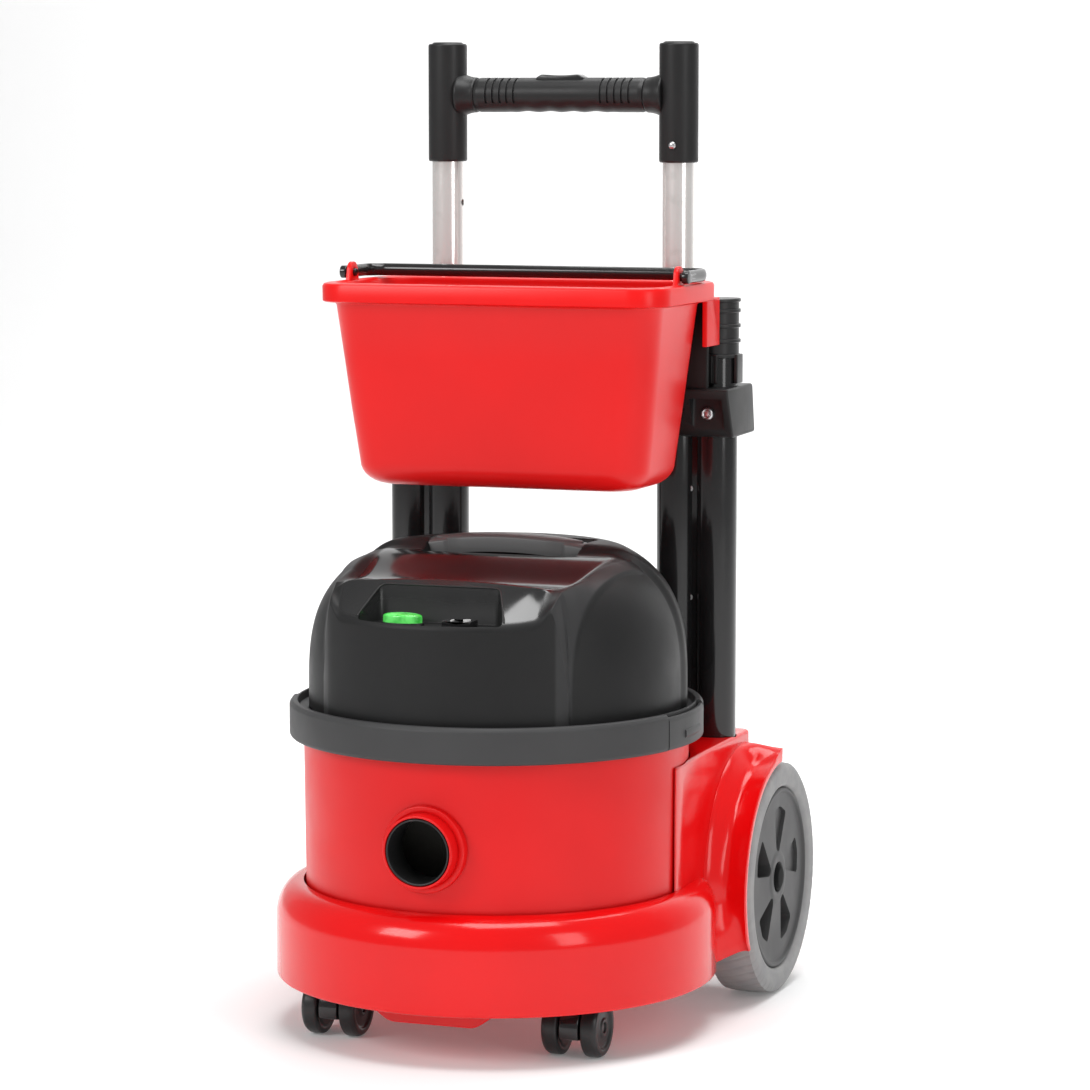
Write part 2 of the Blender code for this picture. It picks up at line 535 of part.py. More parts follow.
def build_handle():
    """The telescoping part. Its origin is on the slide's axis, midway between the tubes."""
    pivot = (0, POST_Y, GRIP_Z)
    for name, side in SIDES:
        centre = (side * LOBE_IN_X, POST_Y, 0)
        inner = TUBE_R - TUBE_WALL
        wall = [(inner, TUBE_BOTTOM), (TUBE_R, TUBE_BOTTOM), (TUBE_R, TUBE_TOP), (inner, TUBE_TOP)]
        tube = add_object("tube_" + name, turned(wall, MEDIUM, centre), "chrome", pivot)
        hole = rod(3, 0, 40, (side * LOBE_IN_X, POST_Y, 691), "x")
        bmesh.ops.translate(hole, vec=(-40 if side == RIGHT else 0, 0, 0), verts=hole.verts)
        cut(tube, add_object("detent_" + name, hole, origin=pivot))
        room = TUBE_R + GAP
        shell = [(room, SLEEVE_BOTTOM), (16.2, SLEEVE_BOTTOM), (SLEEVE_R, SLEEVE_BOTTOM + 1.5)]
        shell += [(SLEEVE_R, 828), (16.2, SLEEVE_TOP), (room, SLEEVE_TOP)]
        sleeve = add_object("sleeve_" + name, turned(shell, MEDIUM, centre), "charcoal", pivot)
        flare = [(0, 78), (15.4, 78), (15.8, 84), (18.5, 91), (18.5, 96), (0, 96)]
        stub = turned(mirrored(flare, side), MEDIUM, (0, POST_Y, GRIP_Z), "x")
        stub = add_object("stub_" + name, stub, origin=pivot)
        cut(stub, add_object("stub_end_" + name, rod(15.5, 740, 826, centre, "z", MEDIUM), origin=pivot))
        join(sleeve, stub)
        face = -1 if side == RIGHT else 1
        pin_hole = rod(2.3, *sorted((face * 10, face * 30)), (side * LOBE_IN_X, POST_Y, 742), "y")
        cut(sleeve, add_object("pin_hole_" + name, pin_hole, origin=pivot))
        pin = [(0, 14.4), (2, 14.4), (2, 17.3), (3.4, 17.3), (3.1, 18.5), (1.5, 19.3), (0, 19.5)]
        pin = turned([(r, face * y) for r, y in pin], SMALL, (side * LOBE_IN_X, POST_Y, 742), "y")
        add_object("sleeve_pin_" + name, pin, "steel", pivot)
        cap = [(0, TUBE_TOP + 1), (13.9, TUBE_TOP + 1), (13.9, 830), (12.5, 831), (0, 831)]
        add_object("sleeve_cap_" + name, turned(cap, MEDIUM, centre), "charcoal", pivot)
    bar = [(0, -GRIP_HALF), (14.4, -GRIP_HALF), (GRIP_R, -74), (GRIP_R, 74), (14.4, GRIP_HALF), (0, GRIP_HALF)]
    grip = add_object("grip", turned(bar, MEDIUM, (0, POST_Y, GRIP_Z), "x"), "charcoal", pivot)
    cut(grip, add_object("button_room", box((-22.4, 22.4), (POST_Y - 7.4, POST_Y + 7.4), (789, 810)), origin=pivot))
    top = [(-22, 794), (22, 794), (22, 800), (18, 802.6), (6, 802.2), (-6, 802.2), (-18, 802.6), (-22, 800)]
    add_object("release_button", prism(top, "y", POST_Y - 7, POST_Y + 7), "black_gloss", (0, POST_Y, 798))


# ---------------------------------------------------------------- caddy


def caddy_loops():
    """Round the bucket's wall from its foot, up the outside, over the rim and down the inside."""
    levels = (
        (455.0, 112, 11, 92, 20), (457, 119, 4, 98, 24), (463, 125.5, -3, 105, 28), (476, 130.5, -8, 109, 30),
        (611, 146, -21, 119, 28), (611, 155, -31, 139, 30), (CADDY_TOP, 155, -31, 139, 30),
        (CADDY_TOP, 143.6, -18.6, 116.6, 26), (476, 128, -5.5, 106.5, 28), (465, 123, -0.5, 102.5, 26),
        (458, 112, 11, 92, 18),
    )
    return [rounded_rectangle(half, front, back, radius, z) for z, half, front, back, radius in levels]


def build_caddy():
    foot = (0, 48, CADDY_BOTTOM)
    bucket = add_object("caddy_bucket", loft(caddy_loops()), "red_satin", foot)
    join(bucket, add_object("rear_plate", box((-152, 152), (135.6, 139), (SKIRT_PLATE_BOTTOM, 613)), origin=foot))
    for name, side in SIDES:
        cheek = box(sorted((side * 147.5, side * 152)), (104, 139), (SKIRT_PLATE_BOTTOM, 613))
        join(bucket, add_object("cheek_" + name, cheek, origin=foot))
        top = [(BAIL_Y + 8 * math.cos(a), 635 + 8 * math.sin(a)) for a in (0, 0.6, 1.1, 1.57, 2.04, 2.54, 3.14)]
        lug = prism([(BAIL_Y + 10, 622), *top, (BAIL_Y - 10, 622)], "x", *sorted((side * 145.5, side * 149.5)))
        join(bucket, add_object("lug_" + name, lug, origin=foot))
        eye = rod(3.7, 140, 155, (0, BAIL_Y, BAIL_Z), "x")
        if side == LEFT:
            bmesh.ops.translate(eye, vec=(-295, 0, 0), verts=eye.verts)
        cut(bucket, add_object("eye_" + name, eye, origin=foot))


def build_bail():
    """A U-shaped carrying bail: one section swept from pivot to pivot, with pins in the bucket's lugs."""
    reach, bend = BAIL_Y + BAIL_REACH, 14.0
    path = [(BAIL_X, BAIL_Y), (BAIL_X, reach - bend)]
    path += [(BAIL_X - bend + bend * math.cos(a), reach - bend + bend * math.sin(a)) for a in (0.39, 0.79, 1.18)]
    path += [(BAIL_X - bend, reach)]
    path += [(-x, y) for x, y in reversed(path)]
    loops = []
    for i, (x, y) in enumerate(path):
        before, after = path[max(i - 1, 0)], path[min(i + 1, len(path) - 1)]
        along = Vector((after[0] - before[0], after[1] - before[1], 0)).normalized()
        across = Vector((-along.y, along.x, 0))
        width = BAIL_R * (0.52 if abs(x) == BAIL_X else 1.0)
        loop = []
        for k in range(8):
            a = math.tau * k / 8
            loop.append(Vector((x, y, BAIL_Z + BAIL_R * math.sin(a))) + across * width * math.cos(a))
        loops.append(loop)
    pivot = (0, BAIL_Y, BAIL_Z)
    bail = add_object("bail_handle", loft(loops), "black_gloss", pivot)
    for name, side in SIDES:
        eye = rod(BAIL_R, *sorted((side * (BAIL_X - 2.9), side * (BAIL_X + 2.9))), (0, BAIL_Y, BAIL_Z), "x")
        pin = rod(3.3, *sorted((side * 143.5, side * (BAIL_X + 1))), (0, BAIL_Y, BAIL_Z), "x")
        join(bail, add_object("bail_eye_" + name, eye, origin=pivot), add_object("bail_pin_" + name, pin, origin=pivot))


clear_scene()
FRAME = bpy.data.objects.new("frame_origin", None)
bpy.context.scene.collection.objects.link(FRAME)
# The box runs from the skirt's front to the tyres' back.
FRAME.location = (0, -(AXLE_Y + WHEEL_R - SKIRT_R) / 2 * MM, 0)
MATERIAL = {name: make_material(name) for name in MATERIALS}

build_base()
for side_name, side_sign in SIDES:
    build_wheel(side_name, side_sign)
    build_castor(side_name, side_sign)
    build_post(side_name, side_sign)
build_tub()
build_ring()
build_head_cover()
build_controls()
build_motor()
build_rail()
build_handle()
build_caddy()
build_bail()
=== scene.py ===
"""The finished look of a wheeled tub vacuum cleaner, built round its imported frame.

Shapes are drawn in millimetres in the machine's own frame: Z is the tub's axis, the floor is Z = 0, +X is the
machine's left as it faces you and +Y its back. make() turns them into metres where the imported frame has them.
"""

import json
import math

import bmesh
import bpy
from mathutils import Matrix, Vector


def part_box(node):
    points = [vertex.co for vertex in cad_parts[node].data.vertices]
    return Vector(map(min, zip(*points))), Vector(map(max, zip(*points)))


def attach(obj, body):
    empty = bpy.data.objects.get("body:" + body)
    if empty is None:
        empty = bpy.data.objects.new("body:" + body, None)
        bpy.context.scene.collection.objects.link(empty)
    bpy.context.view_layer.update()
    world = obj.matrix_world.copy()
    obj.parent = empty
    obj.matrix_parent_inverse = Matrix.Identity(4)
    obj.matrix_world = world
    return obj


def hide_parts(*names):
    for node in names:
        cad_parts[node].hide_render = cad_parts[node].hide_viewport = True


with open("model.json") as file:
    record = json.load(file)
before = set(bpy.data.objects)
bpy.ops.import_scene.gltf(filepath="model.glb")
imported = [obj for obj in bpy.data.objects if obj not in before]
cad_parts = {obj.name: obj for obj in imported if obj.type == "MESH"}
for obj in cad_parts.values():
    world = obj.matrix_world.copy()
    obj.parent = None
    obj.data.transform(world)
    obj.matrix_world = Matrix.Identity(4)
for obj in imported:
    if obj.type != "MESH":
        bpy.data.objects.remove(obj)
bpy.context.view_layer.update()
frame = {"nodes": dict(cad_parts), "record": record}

MM = 0.001
LEFT, RIGHT = -1, 1
SIDES = (("left", LEFT), ("right", RIGHT))
BODY_OF = {node: body for body, nodes in frame["record"]["behaviour"]["bodies"].items() for node in nodes}

TUB_LOW, TUB_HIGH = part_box("tub")
MACHINE = Vector(((TUB_LOW.x + TUB_HIGH.x) / 2, (TUB_LOW.y + TUB_HIGH.y) / 2, 0))


def extent(node):
    """A CAD node's lowest and highest corners in the machine's frame, in millimetres."""
    low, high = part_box(node)
    return (low - MACHINE) / MM, (high - MACHINE) / MM


def middle(node):
    low, high = extent(node)
    return (low + high) / 2


HUGE, ROUND, MEDIUM, SMALL = 192, 96, 64, 32  # how many sides round shapes have

HEAD_FOOT = extent("head_cover")[0].z
FACADE_R, FACADE_HALF_ANGLE, FACADE_EDGE, EDGE_Z = 162.0, 42.0, 4.0, 359.0
DOME_R, DOME_BASE, DOME_RISE, DOME_POWER, DOME_CAP = 161.5, 288.0, 133.0, 3.0, 409.5
PANEL_R, PANEL_RISE = 158.5, 127.0
LIP_Y, LIP_Z, DECK_SLOPE, LIP_BOW = -109.0, 391.5, 0.653, 0.00085
DIP_Y, DIP_Z, SCOOP_REAR_Y, SCOOP_REAR_Z = -78.0, 384.0, 8.0, 401.0
POCKET_FLOOR = 355.7
WELL_R = 103.6  # inside of the mudguards
FACADE_ROLL = 1.8  # how far the front panel's upright edges draw in
AXLE = middle("hub_left") * Vector((0, 1, 1))
SKIRT_R = -extent("trolley_base")[0].y
POST_Y = middle("tube_left").y
LOBE_IN_X = middle("tube_right").x
LOBE_IN_R = 18.0
LOBE_OUT_R = 17.5
LOBE_OUT_X = extent("post_right")[1].x - LOBE_OUT_R
TUBE_R = 14.0
SLEEVE_R = 17.0
GRIP_Z = middle("grip").z
BAIL_Y, BAIL_Z = 40.0, 634.0  # the bail's pivot
INLET_Z = middle("inlet_collar").z


# ---------------- outlines


def smooth(low, high, x):
    t = min(max((x - low) / (high - low), 0.0), 1.0)
    return t * t * (3 - 2 * t)


def arc(centre, radius, start, stop, steps):
    """Points on an arc, with its angles in degrees."""
    angles = [math.radians(start + (stop - start) * k / steps) for k in range(steps + 1)]
    return [(centre[0] + radius * math.cos(a), centre[1] + radius * math.sin(a)) for a in angles]


def soften(points, radius, steps=3, closed=True):
    """Rounds an outline's corners with short curves. An open outline keeps its two ends."""
    result = []
    for i, point in enumerate(points):
        if not closed and i in (0, len(points) - 1):
            result.append(tuple(point))
            continue
        here, before, after = Vector(point), Vector(points[i - 1]), Vector(points[(i + 1) % len(points)])
        start = here + (before - here).normalized() * min(radius, (before - here).length * 0.45)
        end = here + (after - here).normalized() * min(radius, (after - here).length * 0.45)
        for k in range(steps + 1):
            t = k / steps
            result.append(tuple(start * (1 - t) ** 2 + here * 2 * t * (1 - t) + end * t * t))
    return result


def inset(outline, distance):
    """Moves a closed outline inwards."""
    area = sum(a[0] * b[1] - b[0] * a[1] for a, b in zip(outline, outline[1:] + outline[:1]))
    way = 1 if area > 0 else -1
    result = []
    for i, point in enumerate(outline):
        before = (Vector(point) - Vector(outline[i - 1])).normalized()
        after = (Vector(outline[(i + 1) % len(outline)]) - Vector(point)).normalized()
        normal = Vector((-before.y - after.y, before.x + after.x))
        if normal.length < 1e-6:
            normal = Vector((-before.y, before.x))
        normal.normalize()
        miter = max(normal.dot(Vector((-before.y, before.x))), 0.5)
        result.append(tuple(Vector(point) + normal * (way * distance / miter)))
    return result


def rectangle(across, up):
    return [(across[0], up[0]), (across[1], up[0]), (across[1], up[1]), (across[0], up[1])]


def rounded_rectangle(half_x, front, back, radius, z, steps=10):
    """A loop of points round a rectangle with round corners, at one height."""
    centre, half_y = (front + back) / 2, (back - front) / 2
    points = []
    for sx, sy, start in ((1, 1, 0), (-1, 1, 90), (-1, -1, 180), (1, -1, 270)):
        corner = (sx * (half_x - radius), centre + sy * (half_y - radius))
        points += arc(corner, radius, start, start + 90, steps)
    return [(x, y, z) for x, y in points]


def lobed_outline(side, offset=0.0, web=8.0, steps=20):
    """The post's section: two round lobes joined by a web, grown by an offset."""
    points = []
    for centre, lobe, facing in ((LOBE_OUT_X, LOBE_OUT_R, 0.0), (LOBE_IN_X, LOBE_IN_R, math.pi)):
        radius = lobe + offset
        reach = math.pi - math.asin((web + offset) / radius)
        for k in range(2 * steps + 1):
            a = facing - reach + reach * k / steps
            points.append((side * (centre + radius * math.cos(a)), POST_Y + radius * math.sin(a)))
    return points


# ---------------- solids


def oriented(axis):
    """Where a point (a, b) at height h goes when a shape is drawn along an axis."""
    order = {"x": (2, 0, 1), "y": (0, 2, 1), "z": (0, 1, 2)}[axis]
    return lambda *place: tuple(place[k] for k in order)


def loft(loops):
    """A solid through loops of equal length, with flat ends."""
    bm = bmesh.new()
    rings = [[bm.verts.new(p) for p in loop] for loop in loops]
    for a, b in zip(rings, rings[1:]):
        for i in range(len(a)):
            j = (i + 1) % len(a)
            bm.faces.new((a[i], a[j], b[j], b[i]))
    bm.faces.new(rings[0])
    bm.faces.new(rings[-1])
    return bm


def slab(outline, axis, low, high, edge=0.0, steps=3):
    """Extrudes a flat outline along an axis and rounds both its rims."""
    place = oriented(axis)
    turns = [math.pi / 2 * k / steps for k in range(steps + 1)] if edge else [0.0]
    rims = [(edge * (1 - math.sin(a)), edge * (1 - math.cos(a))) for a in turns]
    levels = [(into, low + up) for into, up in rims] + [(into, high - up) for into, up in reversed(rims)]
    return loft([[place(a, b, height) for a, b in inset(outline, into)] for into, height in levels])


def block(x, y, z, edge=0.0, corner=0.0):
    outline = rectangle(x, y)
    return slab(soften(outline, corner) if corner else outline, "z", z[0], z[1], edge)


def lathe(profile, sides, centre=(0, 0, 0), axis="z", ripple=None):
    """Turns a closed (radius, height) profile round an axis. Ripple(r, h, angle) is added to its radii."""
    bm = bmesh.new()
    rings = []
    for j in range(sides):
        a = math.tau * j / sides
        line = [(r + ripple(r, h, a), h) if ripple and r else (r, h) for r, h in profile]
        rings.append([bm.verts.new((r * math.cos(a), r * math.sin(a), h)) for r, h in line])
    for a, b in zip(rings, rings[1:] + rings[:1]):
        for i, (r, _) in enumerate(profile):
            k = (i + 1) % len(profile)
            if r or profile[k][0]:
                bm.faces.new((a[i], b[i], b[k], a[k]))
    bmesh.ops.remove_doubles(bm, verts=bm.verts, dist=1e-4)
    turns = {"x": Matrix.Rotation(math.pi / 2, 4, "Y"), "y": Matrix.Rotation(-math.pi / 2, 4, "X")}
    matrix = Matrix.Translation(centre) @ turns.get(axis, Matrix())
    bmesh.ops.transform(bm, matrix=matrix, verts=bm.verts)
    return bm


def rod(radius, low, high, centre=(0, 0, 0), axis="z", sides=SMALL, edge=0.0):
    """A round bar between two places along an axis, with softened rims."""
    profile = rectangle((0, radius), (low, high))
    return lathe(soften(profile, edge, closed=False) if edge else profile, sides, centre, axis)


def sweep(path, section):
    """Sweeps a section along a path of 3-D points. section(k) gives its (across, up) points there."""
    loops = []
    for k, point in enumerate(path):
        before, after = Vector(path[max(k - 1, 0)]), Vector(path[min(k + 1, len(path) - 1)])
        along = (after - before).normalized()
        up = Vector((0, 0, 1)) - along * along.z
        across = along.cross(up.normalized())
        loops.append([Vector(point) + across * a + up.normalized() * b for a, b in section(k)])
    return loft(loops)


def sector(profile, start, stop, steps, place):
    """A solid that sweeps a (radius, height) profile through an angle in degrees."""
    angles = [math.radians(start + (stop - start) * k / steps) for k in range(steps + 1)]
    return loft([[place(r, h, a) for r, h in profile] for a in angles])


def round_z(r, z, angle):
    """A point at an angle from the machine's front, towards +X."""
    return (r * math.sin(angle), -r * math.cos(angle), z)


def mirrored(profile, side):
    return [(r, side * x) for r, x in profile]


def span(side, near, far):
    """Two distances on one side of a plane, as its lowest and highest places."""
    return sorted((side * near, side * far))


def plain_object(name, bm):
    bmesh.ops.recalc_face_normals(bm, faces=bm.faces)
    mesh = bpy.data.meshes.new(name)
    bm.to_mesh(mesh)
    bm.free()
    obj = bpy.data.objects.new(name, mesh)
    bpy.context.scene.collection.objects.link(obj)
    return obj


def combine(bm, *steps):
    """Joins or cuts a shape with others, each given as ("UNION" or "DIFFERENCE", shape)."""
    target = plain_object("target", bm)
    tools = []
    for operation, shape in steps:
        tool = plain_object("tool", shape)
        modifier = target.modifiers.new(operation, "BOOLEAN")
        modifier.operation = operation
        modifier.solver = "MANIFOLD"
        modifier.object = tool
        tools.append(tool)
    result = bmesh.new()
    result.from_object(target, bpy.context.evaluated_depsgraph_get())
    for obj in [target, *tools]:
        mesh = obj.data
        bpy.data.objects.remove(obj)
        bpy.data.meshes.remove(mesh)
    return result


def cut(bm, *shapes):
    return combine(bm, *[("DIFFERENCE", shape) for shape in shapes])


def join(bm, *shapes):
    return combine(bm, *[("UNION", shape) for shape in shapes])


def make(name, bm, material, nodes, sharp=38, replaces=True, bevel=0.0):
    """Puts a shape in the frame as a piece that rides with its CAD nodes and stands for them."""
    nodes = [nodes] if isinstance(nodes, str) else nodes
    bmesh.ops.transform(bm, matrix=Matrix.Translation(MACHINE) @ Matrix.Scale(MM, 4), verts=bm.verts)
    obj = plain_object(name, bm)
    obj.data.materials.append(material)
    obj.data.shade_smooth()
    obj.data.set_sharp_from_angle(angle=math.radians(sharp))
    if bevel:
        modifier = obj.modifiers.new("Bevel", "BEVEL")
        modifier.width = bevel * MM
        modifier.segments = 3
        modifier.limit_method = "ANGLE"
        modifier.angle_limit = math.radians(40)
        modifier.harden_normals = True
    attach(obj, BODY_OF[nodes[0]])
    if replaces:
        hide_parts(*nodes)
    return obj


def detail(name, bm, material, node, **options):
    """A piece that the CAD leaves out, riding with the node that it belongs to."""
    return make(name, bm, material, node, replaces=False, **options)


# ---------------- materials


class Nodes:
    """A short way to write a material's nodes."""

    def __init__(self, name, colour, roughness, metallic=0.0, coat=0.0, specular=0.5):
        self.material = bpy.data.materials.new(name)
        self.material.use_nodes = True
        self.tree = self.material.node_tree
        self.shader = self.tree.nodes["Principled BSDF"]
        values = {"Base Color": (*colour, 1), "Roughness": roughness, "Metallic": metallic}
        values |= {"Coat Weight": coat, "Coat Roughness": 0.08, "Specular IOR Level": specular}
        for socket, value in values.items():
            self.surface(socket, value)
        self.place = self.add("TexCoord").outputs["Object"]

    def add(self, kind, **inputs):
        node = self.tree.nodes.new("ShaderNode" + kind)
        for name, value in inputs.items():
            self.set(node.inputs[name.replace("_", " ")], value)
        return node

    def set(self, socket, value):
        if isinstance(value, bpy.types.NodeSocket):
            self.tree.links.new(value, socket)
        else:
            socket.default_value = value

    def surface(self, name, value):
        """Sets one of the shader's own inputs."""
        self.set(self.shader.inputs[name], value)

    def stretched(self, scale):
        return self.add("Mapping", Vector=self.place, Scale=scale).outputs["Vector"]

    def attribute(self, name):
        """A number that the mesh stores at each of its points."""
        node = self.add("Attribute")
        node.attribute_name = name
        return node.outputs["Fac"]

    def noise(self, size_mm, detail, vector=None):
        """Noise whose blobs are about size_mm across, from 0 to 1."""
        node = self.add("TexNoise", Vector=vector or self.place, Scale=1000 / size_mm, Detail=detail)
        return node.outputs["Fac"]

    def calculate(self, operation, first, second):
        node = self.add("Math")
        node.operation = operation
        self.set(node.inputs[0], first)
        self.set(node.inputs[1], second)
        return node.outputs[0]

    def remap(self, value, low, high, to_low, to_high):
        node = self.add("MapRange", Value=value, From_Min=low, From_Max=high, To_Min=to_low, To_Max=to_high)
        return node.outputs["Result"]

    def blend(self, factor, first, second):
        node = self.add("Mix")
        node.data_type = "RGBA"
        for socket, value in ((node.inputs[0], factor), (node.inputs[6], first), (node.inputs[7], second)):
            self.set(socket, value)
        return node.outputs[2]

    def colour_between(self, factor, first, second):
        self.surface("Base Color", self.blend(factor, (*first, 1), (*second, 1)))

    def bump(self, height, depth_mm, strength=1.0):
        node = self.add("Bump", Height=height, Distance=depth_mm * MM, Strength=strength)
        previous = self.shader.inputs["Normal"].links
        if previous:
            self.set(node.inputs["Normal"], previous[0].from_socket)
        self.surface("Normal", node.outputs["Normal"])


def scaled(colour, factor):
    return tuple(min(c * factor, 1.0) for c in colour)


def moulded(name, colour, roughness, grain_mm, grain_depth, spread=0.06, tone=0.06, coat=0.0, wave=0.0,
            specular=0.4):
    """Moulded plastic: a fine grain, slow changes of shade and gloss, faint rub marks and sink waves."""
    nodes = Nodes(name, colour, roughness, coat=coat, specular=specular)
    cloud = nodes.remap(nodes.noise(85, 4), 0.3, 0.7, 0, 1)
    nodes.colour_between(cloud, scaled(colour, 1 - tone), scaled(colour, 1 + tone))
    rubs = nodes.noise(2.2, 2, nodes.stretched((1.0, 1.0, 0.06)))
    marks = nodes.remap(rubs, 0.60, 0.75, 0, spread * 0.7)
    shine = nodes.remap(nodes.noise(38, 5), 0.25, 0.75, roughness - spread, roughness + spread)
    nodes.surface("Roughness", nodes.calculate("ADD", shine, marks))
    nodes.bump(nodes.noise(grain_mm, 2), grain_depth)
    if wave:
        nodes.bump(nodes.noise(34, 1), wave, 0.6)
    return nodes.material


def head_plastic():
    """The head's skin: finely grained, polished where the mesh says gloss, and lighter where the mesh asks for
    the painted highlight on the ridge bands and the front panel's rounded corners.
    """
    colour = (0.013, 0.013, 0.0133)
    nodes = Nodes("head_charcoal", colour, 0.46)
    gloss, painted_highlight = nodes.attribute("gloss"), nodes.attribute("painted_highlight")
    cloud = nodes.remap(nodes.noise(70, 4), 0.3, 0.7, 0, 1)
    # dark is the head's own colour, in random shades; light is a painted highlight for the ridge bands and the
    # front panel's rounded corners.
    dark = nodes.blend(cloud, (*scaled(colour, 0.93), 1), (*scaled(colour, 1.07), 1))
    light = nodes.blend(cloud, (*scaled(colour, 2.5), 1), (*scaled(colour, 2.8), 1))
    nodes.surface("Base Color", nodes.blend(painted_highlight, dark, light))
    satin = nodes.remap(nodes.noise(30, 5), 0.25, 0.75, 0.42, 0.52)
    polish = nodes.remap(nodes.noise(22, 4), 0.25, 0.75, 0.10, 0.15)
    mix = nodes.add("Mix")
    for socket, value in ((mix.inputs[0], gloss), (mix.inputs[2], satin), (mix.inputs[3], polish)):
        nodes.set(socket, value)
    nodes.surface("Roughness", mix.outputs[0])
    nodes.surface("Specular IOR Level", nodes.remap(gloss, 0, 1, 0.24, 0.7))
    depth = nodes.remap(gloss, 0, 1, 1.0, 0.05)
    nodes.bump(nodes.calculate("MULTIPLY", nodes.noise(0.7, 2), depth), 0.05)
    return nodes.material


def rubber():
    nodes = Nodes("tyre_rubber", (0.29, 0.29, 0.292), 0.66, specular=0.35)
    dust = nodes.remap(nodes.noise(18, 6), 0.35, 0.75, 0, 1)
    nodes.colour_between(dust, (0.265, 0.265, 0.268), (0.32, 0.318, 0.313))
    nodes.surface("Roughness", nodes.remap(nodes.noise(6, 4), 0.3, 0.7, 0.6, 0.76))
    nodes.bump(nodes.noise(0.9, 3), 0.08)
    return nodes.material


def metal(name, colour, roughness, brush_axis, spread=0.05, depth=0.006, metallic=1.0):
    """Plated or drawn metal with fine lines along one axis and small stains."""
    nodes = Nodes(name, colour, roughness, metallic=metallic)
    lines = [1.0 if axis == brush_axis else 28.0 for axis in "xyz"]
    brushed = nodes.noise(22, 3, nodes.stretched(tuple(lines)))
    stain = nodes.remap(nodes.noise(14, 5), 0.55, 0.8, 0, 1)
    nodes.colour_between(stain, colour, scaled(colour, 0.86))
    nodes.surface("Roughness", nodes.remap(brushed, 0.3, 0.7, roughness - spread, roughness + spread))
    nodes.bump(brushed, depth)
    return nodes.material


def lens():
    """A lit green push button, brighter and darker in soft patches, with a faint moulded ripple."""
    nodes = Nodes("green_lens", (0.05, 0.62, 0.07), 0.2, coat=0.4)
    glow = nodes.remap(nodes.noise(9, 2), 0.35, 0.65, 0, 1)
    nodes.colour_between(glow, (0.03, 0.42, 0.04), (0.16, 0.85, 0.18))
    nodes.surface("Emission Color", nodes.blend(glow, (0.02, 0.42, 0.03, 1), (0.12, 0.80, 0.12, 1)))
    nodes.surface("Emission Strength", 0.25)
    nodes.bump(nodes.noise(1.5, 2), 0.05)
    return nodes.material


def shaded_cloth():
    """A plain woven filter cloth, coloured near-black as painted shade for the dark inside of the inlet."""
    nodes = Nodes("filter_cloth", (0.05, 0.048, 0.042), 0.9)
    weave = nodes.add("TexWave", Vector=nodes.place, Scale=420.0, Distortion=0.6, Detail=1.0)
    cross = nodes.add("TexWave", Vector=nodes.place, Scale=420.0, Distortion=0.6, Detail=1.0)
    cross.bands_direction = "Z"
    nodes.colour_between(weave.outputs["Fac"], (0.040, 0.038, 0.033), (0.060, 0.058, 0.050))
    nodes.bump(weave.outputs["Fac"], 0.25)
    nodes.bump(cross.outputs["Fac"], 0.25)
    return nodes.material


RED_GLOSS = moulded("base_red", (0.76, 0.003, 0.004), 0.17, 1.4, 0.010, spread=0.04, tone=0.04, coat=0.2,
                    wave=0.10, specular=0.28)
RED_TUB = moulded("tub_red", (0.72, 0.005, 0.006), 0.36, 0.8, 0.020, tone=0.04, wave=0.10, specular=0.3)
RED_CADDY = moulded("caddy_red", (0.78, 0.006, 0.006), 0.31, 0.7, 0.012, spread=0.02, tone=0.03, wave=0.04,
                    specular=0.3)
HEAD = head_plastic()
CHARCOAL = moulded("charcoal", (0.014, 0.014, 0.0143), 0.40, 0.7, 0.035, specular=0.3)
HANDLE_GREY = moulded("handle_grey", (0.12, 0.12, 0.121), 0.36, 0.7, 0.03)
RING_GREY = moulded("ring_grey", (0.050, 0.050, 0.051), 0.50, 0.8, 0.04, specular=0.28)
BLACK = moulded("black_gloss", (0.012, 0.012, 0.0125), 0.17, 1.2, 0.008, spread=0.05, coat=0.25)
BLACK_SATIN = moulded("black_satin", (0.016, 0.016, 0.0165), 0.34, 0.8, 0.03)
# Near-black with almost no shine: painted shade on the disc behind the hub windows, and also the axle caps'
# colour.
SHADE_AND_CAP_BLACK = moulded("shade_and_cap_black", (0.004, 0.004, 0.004), 0.6, 0.8, 0.02, specular=0.06)
HUB_GREY = moulded("hub_grey", (0.062, 0.062, 0.063), 0.48, 0.9, 0.03, specular=0.3)
RUBBER = rubber()
CHROME = metal("chrome_tube", (0.93, 0.91, 0.885), 0.20, "z", spread=0.04, metallic=0.72)
STEEL = metal("zinc_steel", (0.55, 0.55, 0.56), 0.33, "x", spread=0.07)
MOTOR_METAL = metal("motor_metal", (0.42, 0.42, 0.43), 0.4, "z", spread=0.1)
LENS = lens()
SHADED_CLOTH = shaded_cloth()
MARK = moulded("white_mark", (0.75, 0.75, 0.75), 0.5, 0.8, 0.02)


# ---------------- trolley base


def block_outline():
    """The rear block in plan. Its sides start level with the tub's sides and draw in towards the wheels."""
    corner = arc((-152.0, 196.0), 10, 180, 90, 6)
    left = [(-164.7, -14.0), (-164.6, 4.0), (-163.6, 25), (-162, 63), (-161.5, 110), (-162, 160), *corner]
    return left + [(-x, y) for x, y in reversed(left)]


